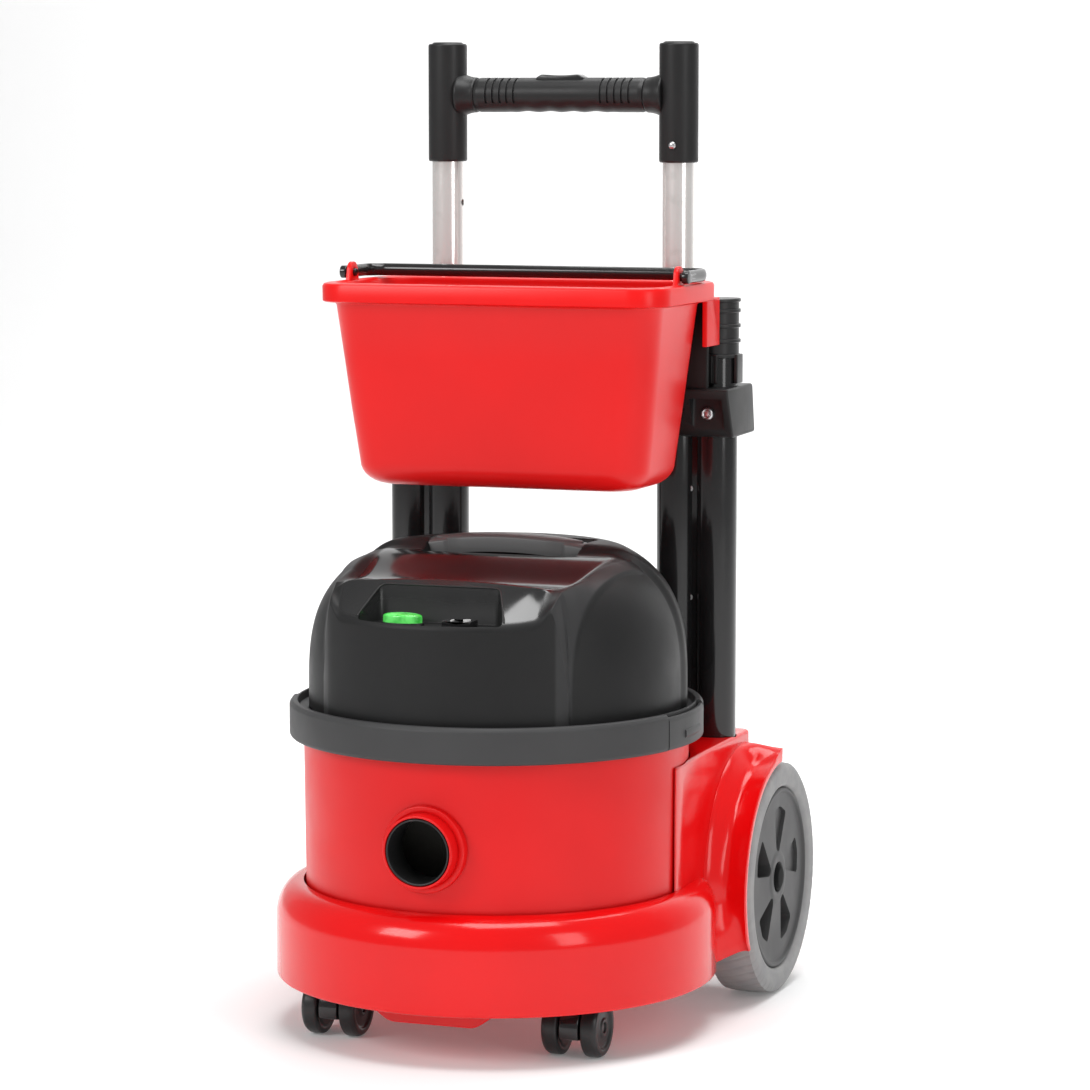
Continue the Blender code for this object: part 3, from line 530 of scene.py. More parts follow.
def arch(side):
    """A mudguard: a rounded shoulder beside the block, then a concave band that flares out over the wheel."""
    start, stop = 91.0, 206.0

    def place(x, r, angle):
        if r > WELL_R:
            degrees = math.degrees(angle)
            tip_r = 118.8 - 3.4 * smooth(162, 196, x)
            r = max(r, r + (tip_r - r) * (1 - smooth(start, start + 15, degrees)))
            foot = smooth(180, 200, degrees) * (1 - smooth(173, 195, x))
            r += 17 * foot - 3.0 * smooth(stop - 6, stop, degrees)
        return (side * x, AXLE.y + r * math.cos(angle), AXLE.z + r * math.sin(angle))

    outside = []
    for k in range(25):
        x = 150 + 46 * k / 24
        shoulder = 13.5 * (1 - smooth(160, 180, x))
        outside.append((x, 106.2 + shoulder + 3.6 * max((x - 176) / 20, 0.0) ** 2))
    profile = [*outside, (196.7, 108.6), (196.8, 106.6), (196.4, 100), (195.5, 99), (150.0, 99.0)]
    return sector(profile, start, stop, 60, place)


def base_skirt():
    """The bumper skirt round the tub, with a rounded shoulder."""
    shoulder = []
    for k in range(13):
        a = math.pi / 2 * k / 12
        shoulder.append((164.5 + (SKIRT_R - 164.5) * math.cos(a) ** 0.85, 98 + 26.5 * math.sin(a) ** 1.15))
    foot = soften([(176.2, 52), (176.2, 44.2), (SKIRT_R, 44.2), shoulder[0]], 3.5, 5, closed=False)
    return lathe([(0, 52), *foot[:-1], *shoulder, (0, 124.5)], HUGE)


def base_hollows():
    """What is cut from the base: the tub's seat, its hollow underside, the wheel wells and the sockets."""
    inner = [(167.5, 40), (183.5, 40), (183.5, 99), (181.2, 108), (174, 116.5), (167.5, 119)]
    cavity = cut(block((-144, 144), (60, 201), (30, 208)), rod(168, 20, 240, sides=ROUND))
    tools = [rod(164, 61.7, 300, sides=HUGE), lathe(inner, ROUND), cavity, rod(6.3, -230, 230, AXLE, "x")]
    for _, side in SIDES:
        tools.append(rod(WELL_R, *span(side, 149, 240), AXLE, "x", HUGE))
        tools.append(slab(lobed_outline(side, 0.8), "z", 212, 260))
        tools.append(rod(5.8, 40, 60.2, (side * 107, extent("castor_stem_left")[1].y - 5.5, 0)))
        tools.append(block(span(side, 126, 140), (146, 154), (219, 240)))
    return tools


def build_base():
    body = slab(soften(block_outline(), 4), "z", 44.2, 230, 3.0, 4)
    keel_end = soften([(-60, 53), (-52, 38), (-38, 28), (38, 28), (52, 38), (60, 53)], 6)
    keel = slab(keel_end, "y", -150, -100, 2.0)
    base = join(base_skirt(), body, keel, arch(LEFT), arch(RIGHT))
    make("base_moulding", cut(base, *base_hollows()), RED_GLOSS, "trolley_base", sharp=30)
    bar = rod(6.0, -191.9, 191.9, AXLE, "x", SMALL, 1.0)
    make("wheel_axle", bar, STEEL, "rear_axle")


# ---------------- wheels and castors


def tread(r, x, angle):
    """Shallow slanted grooves across the tyre's running face."""
    if r < 95:
        return 0.0
    turns = angle / math.tau * 60 + (abs(x) - 174.5) / 26
    groove = abs(turns - round(turns))
    return -0.7 * (1 - smooth(0.05, 0.11, groove))


def hub_window(angle):
    """A three-cornered window between two spokes, seen along the axle."""
    corners = ((22.0, -0.12), (60.0, -0.36), (62.5, -0.05), (60.0, 0.22), (24.0, 0.20))
    points = [(AXLE.y + r * math.cos(angle + a), AXLE.z + r * math.sin(angle + a)) for r, a in corners]
    return soften(points, 4, 4)


def build_tyre(name, side):
    running = [(102 - 1.2 * (1 - math.cos(math.pi * (k / 12 - 0.5))), 158 + 33 * k / 12) for k in range(13)]
    shoulder = soften([(79.7, 193), (82.5, 196.6), (95.5, 196.9), (100.6, 193.6)], 3, 4, False)
    inner_wall = soften([(100.5, 156.0), (94, 152.4), (84, 153)], 3, 4, False)
    tyre = [(79.7, 156), *shoulder, *reversed(running), *inner_wall]
    shape = lathe(mirrored(tyre, side), 720, AXLE, "x", tread)
    make("rubber_tyre_" + name, shape, RUBBER, "tyre_" + name, sharp=50)


def build_hub(name, side):
    dish = [(8.5, 158), (20, 158), (20, 177), (71.5, 175.5), (72.5, 157), (79.2, 157), (79.2, 193.4)]
    dish += [(77.8, 194.4), (75.6, 194.4), (74.4, 192.2), (70, 191.6), (24, 192.0), (20, 193)]
    dish += [(13.2, 193), (13.2, 184), (8.5, 184)]
    hub = lathe(mirrored(soften(dish, 1.2, 3), side), HUGE, AXLE, "x")
    for k, floor_x in enumerate((188.2, 165, 165, 165, 188.2)):  # two windows are blind
        hub = cut(hub, slab(hub_window(math.radians(86 + 72 * k)), "x", *span(side, floor_x, 196)))
    make("wheel_hub_" + name, hub, HUB_GREY, "hub_" + name, bevel=0.7)
    # A near-black disc closes the hub's open back behind the through windows: painted shade in their depths.
    floor = [(20.6, 160.5), (20.6, 162.5), (71, 162.5), (71, 160.5)]
    floor = lathe(mirrored(soften(floor, 0.5), side), ROUND, AXLE, "x")
    detail("wheel_back_" + name, floor, SHADE_AND_CAP_BLACK, "hub_" + name)
    face = soften([(0, 195.8), (8.5, 195.4), (12.3, 193.2), (12.3, 185), (6.5, 185)], 1.0, 3, False)
    cap = lathe(mirrored([(0, 192.4), *face, (6.5, 192.4)], side), MEDIUM, AXLE, "x")
    make("wheel_cap_" + name, cap, SHADE_AND_CAP_BLACK, "axle_cap_" + name)


def build_castor(name, side):
    x, stem_y = side * 107.0, middle("castor_stem_" + name).y
    axle = Vector((x, *middle("castor_axle_" + name).yz))
    outline = arc(axle.yz, 23.5, 198, 112, 12)
    outline += [(stem_y - 12, 50.4), (stem_y + 12, 50.4), (stem_y + 13.5, 44), (stem_y + 6, 32)]
    outline += [(-87, 16), (-101, 14)]
    hood = slab(soften(outline, 3), "x", x - 8.5, x + 8.5, 1.6, 4)
    hood = cut(hood, rod(4.3, -20, 20, axle, "x"), rod(4.3, 38, 60, (x, stem_y, 0)))
    make("castor_shell_" + name, hood, BLACK, "castor_hood_" + name)
    rim = [(4.3, 9.2), (17, 9.2), (18, 10.4), (21, 9.4), (24.5, 11), (24.5, 21), (22.5, 24), (18.5, 24)]
    rim += [(16, 21.8), (8.5, 22.6), (7, 24), (4.3, 24)]
    for part, way in (("outer", side), ("inner", -side)):
        wheel = lathe(mirrored(soften(rim, 1.2, 3), way), ROUND, axle, "x")
        make(f"castor_roller_{name}_{part}", wheel, BLACK_SATIN, f"castor_wheel_{name}_{part}")


# ---------------- tub and inlet


def build_tub():
    outside = soften([(0, 62), (155, 62), (161, 69), (163, 252), (166.7, 252.2), (166.7, 256)], 5, 5, False)
    inside = [(160, 256), (157.5, 69), (154, 65), (0, 65)]
    tub = lathe(outside + inside, HUGE)
    tub = cut(tub, rod(28.3, -200, -120, (0, 0, INLET_Z), "y", MEDIUM))
    make("dust_tub", tub, RED_TUB, "tub")


def build_inlet():
    flange, mouth, out = -167.5, -180.0, 36.0
    profile = [(28, -150), (out, -150), (out, flange), (31.4, flange), (30.6, flange + 1.4), (30.2, mouth)]
    profile += [(28, mouth)]
    collar = lathe(soften(profile, 1.6, 5), ROUND, (0, 0, INLET_Z), "y")
    collar = cut(collar, rod(163.3, 100, 260, sides=HUGE))
    make("inlet_ring", collar, RED_TUB, "inlet_collar", sharp=45)
    liner = [(25.5, -148), (27.6, -148), (27.6, -178.6), (26.9, -179.8), (25.9, -179.6), (25.5, -178.5)]
    sleeve = lathe(soften(liner, 0.5), ROUND, (0, 0, INLET_Z), "y")
    make("inlet_sleeve", sleeve, BLACK_SATIN, "inlet_liner")


# ---------------- motor head


def rear_share(angle):
    """0 on the front half of the dome, 1 on the rear half, which stands a little proud of it."""
    return smooth(97, 102, abs(angle))


def dome_height(x, y):
    """The dome over a point in plan. Its front half is a side panel that lies a little lower."""
    rear = rear_share(math.degrees(math.atan2(abs(x), -y)))
    r = math.hypot(x, y)
    radius = PANEL_R + (DOME_R - PANEL_R) * rear
    rise = PANEL_RISE + (DOME_RISE - PANEL_RISE) * rear
    top = DOME_BASE + rise * max(1 - (r / radius) ** DOME_POWER, 0.0) ** (1 / DOME_POWER)
    over = max(top - DOME_CAP + 4, 0.0)
    return top - over + 4 * (1 - math.exp(-over / 4))


def middle_height(x, y):
    """The deck slopes up to a bowed lip, and behind it a scoop dips and rises to the handle."""
    lip = LIP_Y - LIP_BOW * x * x
    lip_z = LIP_Z - 0.0005 * x * x
    if y < lip:
        front = -math.sqrt(max(FACADE_R**2 - x * x, 0.0))
        return EDGE_Z + (lip_z - EDGE_Z) * max(y - front, 0.0) / max(lip - front, 1.0)
    if y < DIP_Y:
        return lip_z + (DIP_Z - lip_z) * smooth(lip - 4, DIP_Y, y)
    return DIP_Z + (SCOOP_REAR_Z - DIP_Z) * smooth(DIP_Y, SCOOP_REAR_Y, y)


def ridge_lines(y):
    """How far out the ridge band's inner and outer edges lie at a place along the head."""
    return 98 + 0.115 * (y + 122), 108.4 + 0.131 * (y + 122)


def head_height(x, y):
    """The head's top over a point in plan: a middle between two ridge bands, and a dome outside them."""
    side, dome = abs(x), dome_height(x, y)
    inner, outer = ridge_lines(y)
    crest = min(LIP_Z - 5.5 + (y - LIP_Y) * DECK_SLOPE, 391.5 + 0.125 * (y + 60))
    on_dome = dome_height(inner, y)
    fade = smooth(-10, 26, y)
    crest = max(crest * (1 - fade) + on_dome * fade, on_dome)
    if side > inner:
        proud = 2.2 * smooth(-118, -105, y) * (1 - smooth(0, 24, y))
        foot = dome_height(outer, y) + proud
        part = (side - inner) / (outer - inner)
        if part > 1:
            return dome + proud * (1 - smooth(1, 1.2, part))
        round_share = 0.65 - 0.45 * smooth(-112, -85, y)
        return max(dome, crest - (crest - foot) * ((1 - round_share) * part + round_share * part**2))
    height = middle_height(x, y)
    height += (crest - height) * smooth(inner - 17, inner, side) ** 1.6
    back = smooth(2, 28, y)
    height = height * (1 - back) + dome * back
    dip = (1 - smooth(62, 70, side)) * smooth(0, 7, y) * (1 - smooth(56, 64, y))
    return height + (373 - height) * dip


def head_radius(angle):
    """The head's wall in plan: the front panel's edges roll off, then step down to the side panels."""
    roll = min(max((abs(angle) - FACADE_HALF_ANGLE + 7) / 7, 0.0), 1.0) ** 2
    step = smooth(FACADE_HALF_ANGLE, FACADE_HALF_ANGLE + 1.2, abs(angle))
    front = FACADE_R - FACADE_ROLL * roll
    return front + (PANEL_R - front) * step + (DOME_R - PANEL_R) * rear_share(angle)


def head_angles():
    """Angles round the head in degrees, closer together at the front panel's two corners."""
    angles, here = [], -180.0
    while here < 180 - 0.01:
        angles.append(here)
        here += 0.25 if 33 <= abs(here) < 49 or 96 <= abs(here) < 103 else 1.0
    return angles


def gloss_at(x, y):
    """How polished the head is: fully on the deck and in the scoop, not at all outside the ridges."""
    inner, _ = ridge_lines(y)
    between = 1 - smooth(inner - 12, inner - 5, abs(x))
    return between * (1 - smooth(2, 8, y)) * (1 - smooth(FACADE_R - 5, FACADE_R - 2, math.hypot(x, y)))


def painted_highlight_at(x, y):
    """1 on the ridge bands, which get a painted highlight: a colour lighter than the rest of the head."""
    inner, outer = ridge_lines(y)
    across = smooth(inner - 1.5, inner + 0.5, abs(x)) * (1 - smooth(outer - 1.0, outer + 1.0, abs(x)))
    return across * (1 - smooth(-2, 14, y))


def head_loops():
    """Round the head from its foot, up the wall and in over the top, to a tiny loop on its axis."""
    rows = 170
    angles = head_angles()
    loops = [[round_z(head_radius(a) - 2.2, HEAD_FOOT, math.radians(a)) for a in angles]]
    loops.append([round_z(head_radius(a), HEAD_FOOT + 2.0, math.radians(a)) for a in angles])
    for k in range(rows):
        t = math.pi / 2 * k / rows
        loop = []
        for a in angles:
            wall = head_radius(a)
            r = wall * math.cos(t) ** (2 / 3)
            x, y, _ = round_z(r, 0, math.radians(a))
            z, depth = head_height(x, y), wall - r
            if depth < FACADE_EDGE and abs(a) < FACADE_HALF_ANGLE:
                z -= FACADE_EDGE - math.sqrt(FACADE_EDGE**2 - (FACADE_EDGE - depth) ** 2)
            loop.append((x, y, max(z, DOME_BASE - 6)))
        loops.append(loop)
    top = Vector((0, 0, head_height(0, 0)))
    loops.append([top + Vector(round_z(0.05, 0, math.radians(a))) for a in angles])
    return loops


def build_head():
    head = cut(loft(head_loops()), pocket_cutter())
    mesh = make("motor_head", head, HEAD, "head_cover", sharp=32).data
    gloss = mesh.attributes.new("gloss", "FLOAT", "POINT")
    painted_highlight = mesh.attributes.new("painted_highlight", "FLOAT", "POINT")
    for k, vertex in enumerate(mesh.vertices):
        place = (vertex.co - MACHINE) / MM
        angle = abs(math.degrees(math.atan2(place.x, -place.y)))
        # corner marks a painted highlight on the front panel's rounded corners; on the top it gives way to the
        # ridge bands' painted highlight.
        corner = smooth(37.5, 38.8, angle) * (1 - smooth(42.0, 42.8, angle))
        if place.z > head_height(place.x, place.y) - 2.5:
            gloss.data[k].value = gloss_at(place.x, place.y)
            corner = painted_highlight_at(place.x, place.y)
        painted_highlight.data[k].value = corner


def pocket_outline(grow=0.0):
    """The control pocket in plan: open towards the front panel's edge."""
    front = [round_z(FACADE_R - 1.6, 0, math.radians(a))[:2] for a in (-24.5, -18, -12, -6, 0, 6, 12, 18, 23)]
    return inset(soften([*front, (47, -117), (-55, -117)], 5, 4), -grow)


def pocket_cutter():
    levels = [(POCKET_FLOOR, -1.6), (POCKET_FLOOR + 0.5, -0.5), (POCKET_FLOOR + 1.6, 0.0)]
    levels += [(395, 1.2), (420, 1.2)]
    return loft([[(x, y, z) for x, y in pocket_outline(grow)] for z, grow in levels])


def build_pocket_rim():
    """A soft bead that follows the pocket's upper edge over the deck."""
    path = []
    for x, y in pocket_outline(1.2):
        if y > -FACADE_R * 0.93 and math.hypot(x, y) < FACADE_R - 3:
            path.append((x, y, head_height(x, y) - 0.45))
    section = [(0.95 * math.cos(a), 0.95 * math.sin(a)) for a in [math.tau * k / 10 for k in range(10)]]
    start = max(range(len(path)), key=lambda k: (Vector(path[k]) - Vector(path[k - 1])).length)
    path = path[start:] + path[:start]
    detail("pocket_rim", sweep(path, lambda k: section), CHARCOAL, "head_cover")


def oval(profile, grow=0.0):
    """Turns a profile round the power button's axis. Radius 1 is the button's own oval edge."""
    low, high = extent("power_button")
    centre, half = (low + high) / 2, (high - low) / 2
    size = Matrix.Diagonal((half.x + grow, half.y + grow, 1, 1))
    shape = lathe(profile, MEDIUM)
    bmesh.ops.transform(shape, matrix=Matrix.Translation((centre.x, centre.y, 0)) @ size, verts=shape.verts)
    return shape


def build_switch_plate():
    low, high = extent("switch_plate")
    plate = block((low.x, high.x), (low.y, high.y), (low.z, high.z), 0.6, 3)
    well = oval(rectangle((0, 1), (340, 370)), 0.4)
    rocker_low, rocker_high = extent("rocker_switch")
    across = (rocker_low.x - 0.6, rocker_high.x + 0.6)
    slot = block(across, (rocker_low.y - 0.4, rocker_high.y + 0.4), (340, 370))
    make("control_plate", cut(plate, well, slot), BLACK_SATIN, "switch_plate")
    top = high.z
    bezel = [(1.005, top - 1), (1.09, top - 1), (1.09, top + 1.4), (1.06, top + 2), (1.005, top + 2)]
    detail("button_bezel", oval(bezel), CHARCOAL, "switch_plate")


def build_button():
    low, high = extent("power_button")
    dome = [(0, low.z), (1, low.z)]
    for k in range(10):
        a = math.pi / 2 * k / 10
        dome.append((math.cos(a) ** 0.4, high.z - 3 + 3 * math.sin(a)))
    dome.append((0, high.z))
    make("green_button", oval(dome), LENS, "power_button", sharp=60)


def build_rocker():
    """A rocker tilted both ways from its middle, with a bar on one end and a ring on the other."""
    low, high = extent("rocker_switch")
    x, y, half = (low.x + high.x) / 2, (low.y + high.y) / 2, (high.x - low.x) / 2
    ridge = low.z + 7.6
    wedge = [(-half, ridge - 3), (-half, ridge + 2.2), (0, ridge), (half, ridge + 2.2), (half, ridge - 3)]
    wedge += [(6, ridge - 7.6), (-6, ridge - 7.6)]
    wedge = soften([(x + a, b) for a, b in wedge], 1.0)
    make("rocker", slab(wedge, "y", low.y, high.y, 0.7), BLACK, "rocker_switch")
    face = ridge + 1.1
    bar = block((x - 7.0, x - 5.8), (y - 3, y + 3), (face - 0.6, face + 0.9))
    detail("on_mark", bar, MARK, "rocker_switch")
    ring = rectangle((2.2, 3.1), (face - 0.6, face + 1.5))
    detail("off_mark", lathe(ring, SMALL, (x + 6.4, y, 0)), MARK, "rocker_switch")


def build_carry_handle():
    """The bar over the finger recess: a long middle piece, and shorter ones that lap under its ends."""
    low, high = extent("carry_handle")
    centre_y, half_length = (low.y + high.y) / 2, high.x

    def piece(start, stop, drop, width):
        loops = []
        steps = 30
        for k in range(steps + 1):
            x = start + (stop - start) * k / steps
            end = min(k, steps - k) / steps
            half = width * (0.25 + 0.75 * math.sqrt(min(end * 5, 1.0))) / 2
            z = high.z - 11 * (x / half_length) ** 2 - drop
            loop = [(x, centre_y + half * a, z - 3.6 + 3.6 * b) for a, b in arc((0, 0), 1.0, 0, 180, 12)]
            loop += [(x, centre_y - half * 0.92, z - 15.5), (x, centre_y + half * 0.92, z - 15.5)]
            loops.append(loop)
        return loft(loops)

    make("carry_bar", piece(-66, 66, 0.1, 28), HANDLE_GREY, "carry_handle")
    for name, side in SIDES:
        link = piece(*span(side, 46, 90), 1.6, 27)
        detail(f"carry_link_{name}", link, HANDLE_GREY, "carry_handle")
        end = piece(*span(side, 76, half_length), 2.6, 26)
        detail(f"carry_end_{name}", end, CHARCOAL, "carry_handle")


def build_ring():
    """The bumper ring, notched at both sides for its latches."""
    section = [(167.2, 248.5), (173.6, 248.5), (175, 250.6), (175, 275.6), (172.6, 279), (168, 279)]
    section += [(167, 272), (158, 272), (158, 257.2), (167.2, 257.2)]
    body = [(170.2, 249.2), (174.8, 249.2), (175.4, 252), (175.4, 273), (174, 276.4), (171.5, 276.4)]
    body += [(170.2, 274), (170.2, 251.7), (165.2, 251.7), (165.2, 249.2)]
    room = [(160, 240), (182, 240), (182, 285), (169.3, 285), (169.3, 252.1), (160, 252.1)]
    tab = [(175.3, 256), (176.6, 257.5), (176.6, 262), (175.3, 263.5)]
    notches = []
    for name, side in SIDES:
        facing = 90.0 * side
        notches.append(sector(room, facing - 15, facing + 15, 16, round_z))
        latch = sector(soften(body, 0.8, 3), facing - 14.75, facing + 14.75, 24, round_z)
        make("side_latch_" + name, latch, RING_GREY, "latch_" + name)
        grip = sector(soften(tab, 0.5), facing - 6, facing + 6, 12, round_z)
        detail("latch_grip_" + name, grip, RING_GREY, "latch_" + name)
    ring = cut(lathe(soften(section, 1.1, 3), HUGE), *notches)
    make("bumper_ring", ring, RING_GREY, "head_ring")


def build_gland():
    z = middle("cord_gland").z
    profile = [(4.2, 158), (14, 158), (14, 165), (10, 166.5), (9.6, 168), (9.2, 168.4)]
    for k in range(4):
        r, y = 9.0 - 0.4 * k, 169.5 + 3 * k
        profile += [(r, y), (r - 1, y + 0.6), (r - 1, y + 1.6), (r, y + 2.2)]
    profile += [(7, 182), (4.2, 182)]
    fitting = lathe(soften(profile, 0.5, 2), MEDIUM, (0, 0, z), "y")
    fitting = cut(fitting, rod(159.4, 280, 330, sides=HUGE))
    make("lead_gland", fitting, BLACK_SATIN, "cord_gland")


# ---------------- posts and brackets


def screw_head(x, y, z, radius=2.6):
    """A small cross-head screw that faces the front."""
    head = rod(radius, y, y + 1.4, (x, 0, z), "y", SMALL, 0.6)
    level = block((x - 1.5, x + 1.5), (y - 1, y + 0.6), (z - 0.3, z + 0.3))
    upright = block((x - 0.3, x + 0.3), (y - 1, y + 0.6), (z - 1.5, z + 1.5))
    return cut(head, level, upright)


def build_post(name, side):
    low, high = extent("post_" + name)
    post = slab(lobed_outline(side), "z", low.z, high.z, 0.8, 3)
    bores = []
    for x, radius in ((LOBE_IN_X, 14.5), (LOBE_OUT_X, 14.3)):
        bores.append(rod(radius, 238, 640, (side * x, POST_Y, 0), sides=MEDIUM))
    make("upright_" + name, cut(post, *bores), BLACK, "post_" + name)
    for k, z in enumerate((351, 446)):
        screw = screw_head(side * 121.5, POST_Y - 9.3, z)
        detail(f"post_screw_{name}_{k}", screw, STEEL, "post_" + name)
    build_collar(name, side)
    build_bracket(name, side)


def build_collar(name, side):
    """The moulded guide on a post's top: a ladder of bands, with legs that reach down its outer lobe."""
    levels = []
    for z in (560, 573, 586, 599):
        levels += [(z, 2.1), (z + 0.5, 2.6), (z + 2.6, 2.6), (z + 3.1, 2.1), (z + 3.4, 1.1), (z + 12.6, 1.1)]
    levels[-1] = (607.6, 1.1)
    levels += [(608, 2.1), (608.5, 2.6), (610.4, 2.6), (611, 2.0)]
    loops = [[(x, y, z) for x, y in lobed_outline(side, grow)] for z, grow in levels]
    shapes = []
    for x, y in (((136, 149), (139.5, 143.4)), ((160.2, 163.6), (153, 169))):
        shapes.append(block(span(side, *x), y, (538, 563), 0.8, 0.8))
    for k in range(3):
        x = 139.5 + 4.0 * k
        shapes.append(block(span(side, x, x + 1.6), (138.9, 143.4), (538.5, 562), 0.4, 0.4))
    collar = join(loft(loops), *shapes)
    room = slab(lobed_outline(side, 0.3), "z", 530, 606.3)
    hole = rod(14.5, 600, 620, (side * LOBE_IN_X, POST_Y, 0), sides=MEDIUM)
    make("post_guide_" + name, cut(collar, room, hole), BLACK_SATIN, "post_collar_" + name)


def build_bracket(name, side):
    """A clamp block round the post, with a tongue in front that the caddy hooks on."""
    top, bottom = 535.5, 492.0
    flank = soften([(121, top - 0.5), (139.5, bottom), (202, bottom + 1), (195, top + 0.5)], 4, 4)
    bracket = slab(flank, "x", *span(side, 84, 164.5), 1.6)
    bracket = join(bracket, block(span(side, 92, 145), (127, 132), (520, 610.7), 0.8, 1.2))
    tools = [slab(lobed_outline(side, 0.3), "z", 480, 560)]
    tools.append(block(span(side, 129, 158), (100, 136), (499, 526), 0, 3))
    bolt_place = (side * LOBE_OUT_X, 0, 513)
    tools.append(rod(3.3, 130, 150, bolt_place, "y"))
    for z in (505, 515, 525):
        tools.append(block(span(side, 100, 124), (100, 130.5), (z, z + 2.5)))
    make("clamp_" + name, cut(bracket, *tools), CHARCOAL, "caddy_bracket_" + name)
    bolt = [(0, 131.3), (2.0, 131.3), (2.4, 132.6), (2.6, 132.6), (4, 131.2), (5.5, 132.6), (5.5, 135.7)]
    bolt += [(3, 135.7), (3, 142.6), (0, 142.6)]
    bolt = lathe(soften(bolt, 0.5, 2, closed=False), SMALL, bolt_place, "y")
    make("clamp_bolt_" + name, bolt, STEEL, "bracket_bolt_" + name)


def build_rail():
    low, high = extent("hanger_rail")
    outline = soften(rectangle((low.y, high.y), (low.z, high.z)), 3, 4)
    make("cross_rail", slab(outline, "x", low.x, high.x, 1.0), BLACK_SATIN, "hanger_rail")


# ---------------- handle


def build_handle():
    for name, side in SIDES:
        centre = (side * LOBE_IN_X, POST_Y, 0)
        low, high = extent("tube_" + name)
        wall = soften(rectangle((12.3, TUBE_R), (low.z, high.z)), 0.5)
        tube = lathe(wall, ROUND, centre)
        hole = rod(3, *span(-side, 0, 40), (side * LOBE_IN_X, POST_Y, 691), "x")
        make("chrome_tube_" + name, cut(tube, hole), CHROME, "tube_" + name)
        build_sleeve(name, side, centre)


def build_sleeve(name, side, centre):
    """The corner piece on a tube's end, with the grip's stub, a lock pin and a cap."""
    low, high = 727.0, 829.5
    room = TUBE_R + 0.3
    shell = [(room, low), (16.3, low), (SLEEVE_R, low + 1.6), (SLEEVE_R, high - 1.4), (16.0, high)]
    sleeve = lathe(soften([*shell, (room, high)], 0.8, 3), ROUND, centre)
    flare = [(0, 78), (15.2, 78), (15.4, 82), (16.2, 86), (17.8, 90.5), (19.0, 95.5), (0, 95.5)]
    stub = lathe(mirrored(soften(flare, 2.5, 4, closed=False), side), ROUND, (0, POST_Y, GRIP_Z), "x")
    stub = cut(stub, rod(15.5, 740, 826, centre, sides=ROUND))
    face = -side  # the right pin is in front, the left one behind
    pin_place = (side * LOBE_IN_X, POST_Y, 742)
    sleeve = cut(join(sleeve, stub), rod(2.3, *span(face, 10, 30), pin_place, "y"))
    make("corner_sleeve_" + name, sleeve, CHARCOAL, "sleeve_" + name, sharp=45)
    pin = [(0, 14.4), (2, 14.4), (2, 17.3), (3.4, 17.3), (3.1, 18.5), (1.5, 19.3), (0, 19.5)]
    pin = lathe(mirrored(soften(pin, 0.5, 2, closed=False), face), SMALL, pin_place, "y")
    make("lock_pin_" + name, pin, STEEL, "sleeve_pin_" + name)
    cap = soften([(0, 823), (13.9, 823), (13.9, 829.6), (12.2, 830.9), (0, 830.9)], 1.2, 4, closed=False)
    make("top_cap_" + name, lathe(cap, ROUND, centre), CHARCOAL, "sleeve_cap_" + name)


def bumps(r, x, angle):
    """Soft finger bumps along the lower side of the grip."""
    down = smooth(0.2, 0.9, math.cos(angle))
    return -0.9 * down * (0.5 - 0.5 * math.cos(math.tau * x / 21)) * (1 - smooth(40, 54, abs(x)))


def build_grip():
    """The moulded cross grip, with dark slots near its ends."""
    half = extent("grip")[1].x
    bar = [(0, -half)]
    for k in range(121):
        x = -half + 2 * half * k / 120
        bar.append((15.0 - 0.8 * smooth(half - 3, half, abs(x)), x))
    bar = lathe([*bar, (0, half)], ROUND, (0, POST_Y, GRIP_Z), "x", bumps)
    room = block((-22.4, 22.4), (POST_Y - 7.4, POST_Y + 7.4), (789, 810), 0, 2)
    slots = []
    for side in (LEFT, RIGHT):
        for k in range(5):
            x = side * (40 + 6.5 * k)
            slot = lathe(rectangle((13.4, 17), (x - 1, x + 1)), MEDIUM, (0, POST_Y, GRIP_Z), "x")
            keep = block((x - 3, x + 3), (POST_Y - 20, POST_Y + 20), (GRIP_Z - 20, GRIP_Z - 7))
            slots.append(cut(slot, keep))
    make("cross_grip", cut(bar, room, *slots), CHARCOAL, "grip", sharp=45)


def build_release_button():
    low, high = extent("release_button")
    top = [(-22, low.z), (22, low.z), (22, 800), (17, 802.8), (6, 802.0), (-6, 802.0), (-17, 802.8)]
    shape = slab(soften([*top, (-22, 800)], 1.6, 4), "y", low.y, high.y, 1.0)
    make("release_key", shape, BLACK, "release_button")


# ---------------- caddy


def caddy_loops():
    """Round the bucket's wall from its foot, up the outside, over the rim and down the inside.

    Each level is a height, half the width, the front, the back and the corners' radius.
    """
    levels = []
    for k in range(9):
        a = math.pi / 2 * k / 8
        levels.append((455 + 20 * (1 - math.cos(a)), 108 + 22.2 * math.sin(a), 15 - 23.3 * math.sin(a),
                       88 + 20.8 * math.sin(a), 18 + 11 * math.sin(a)))
    levels += [(520, 135.8, -13, 112, 29), (565, 141, -17, 115.6, 29), (608.5, 145.9, -20.9, 119, 28)]
    levels += [(610.4, 147.0, -22.2, 122, 28), (611, 153.6, -29.6, 137.8, 30), (612, 155, -31, 139, 30)]
    levels += [(624.5, 155.2, -31, 139, 30), (626.6, 154.2, -30, 138, 30), (627.4, 151.8, -27.6, 135.6, 29)]
    levels += [(627.4, 146.5, -21.4, 120, 27), (626.4, 144.4, -19.4, 117.4, 26)]
    levels += [(624, 143.4, -18.4, 116.4, 26), (476, 128, -5.5, 106.5, 28)]
    levels += [(465, 123, -0.5, 102.5, 26), (458, 112, 11, 92, 18)]
    return [rounded_rectangle(half, front, back, radius, z) for z, half, front, back, radius in levels]


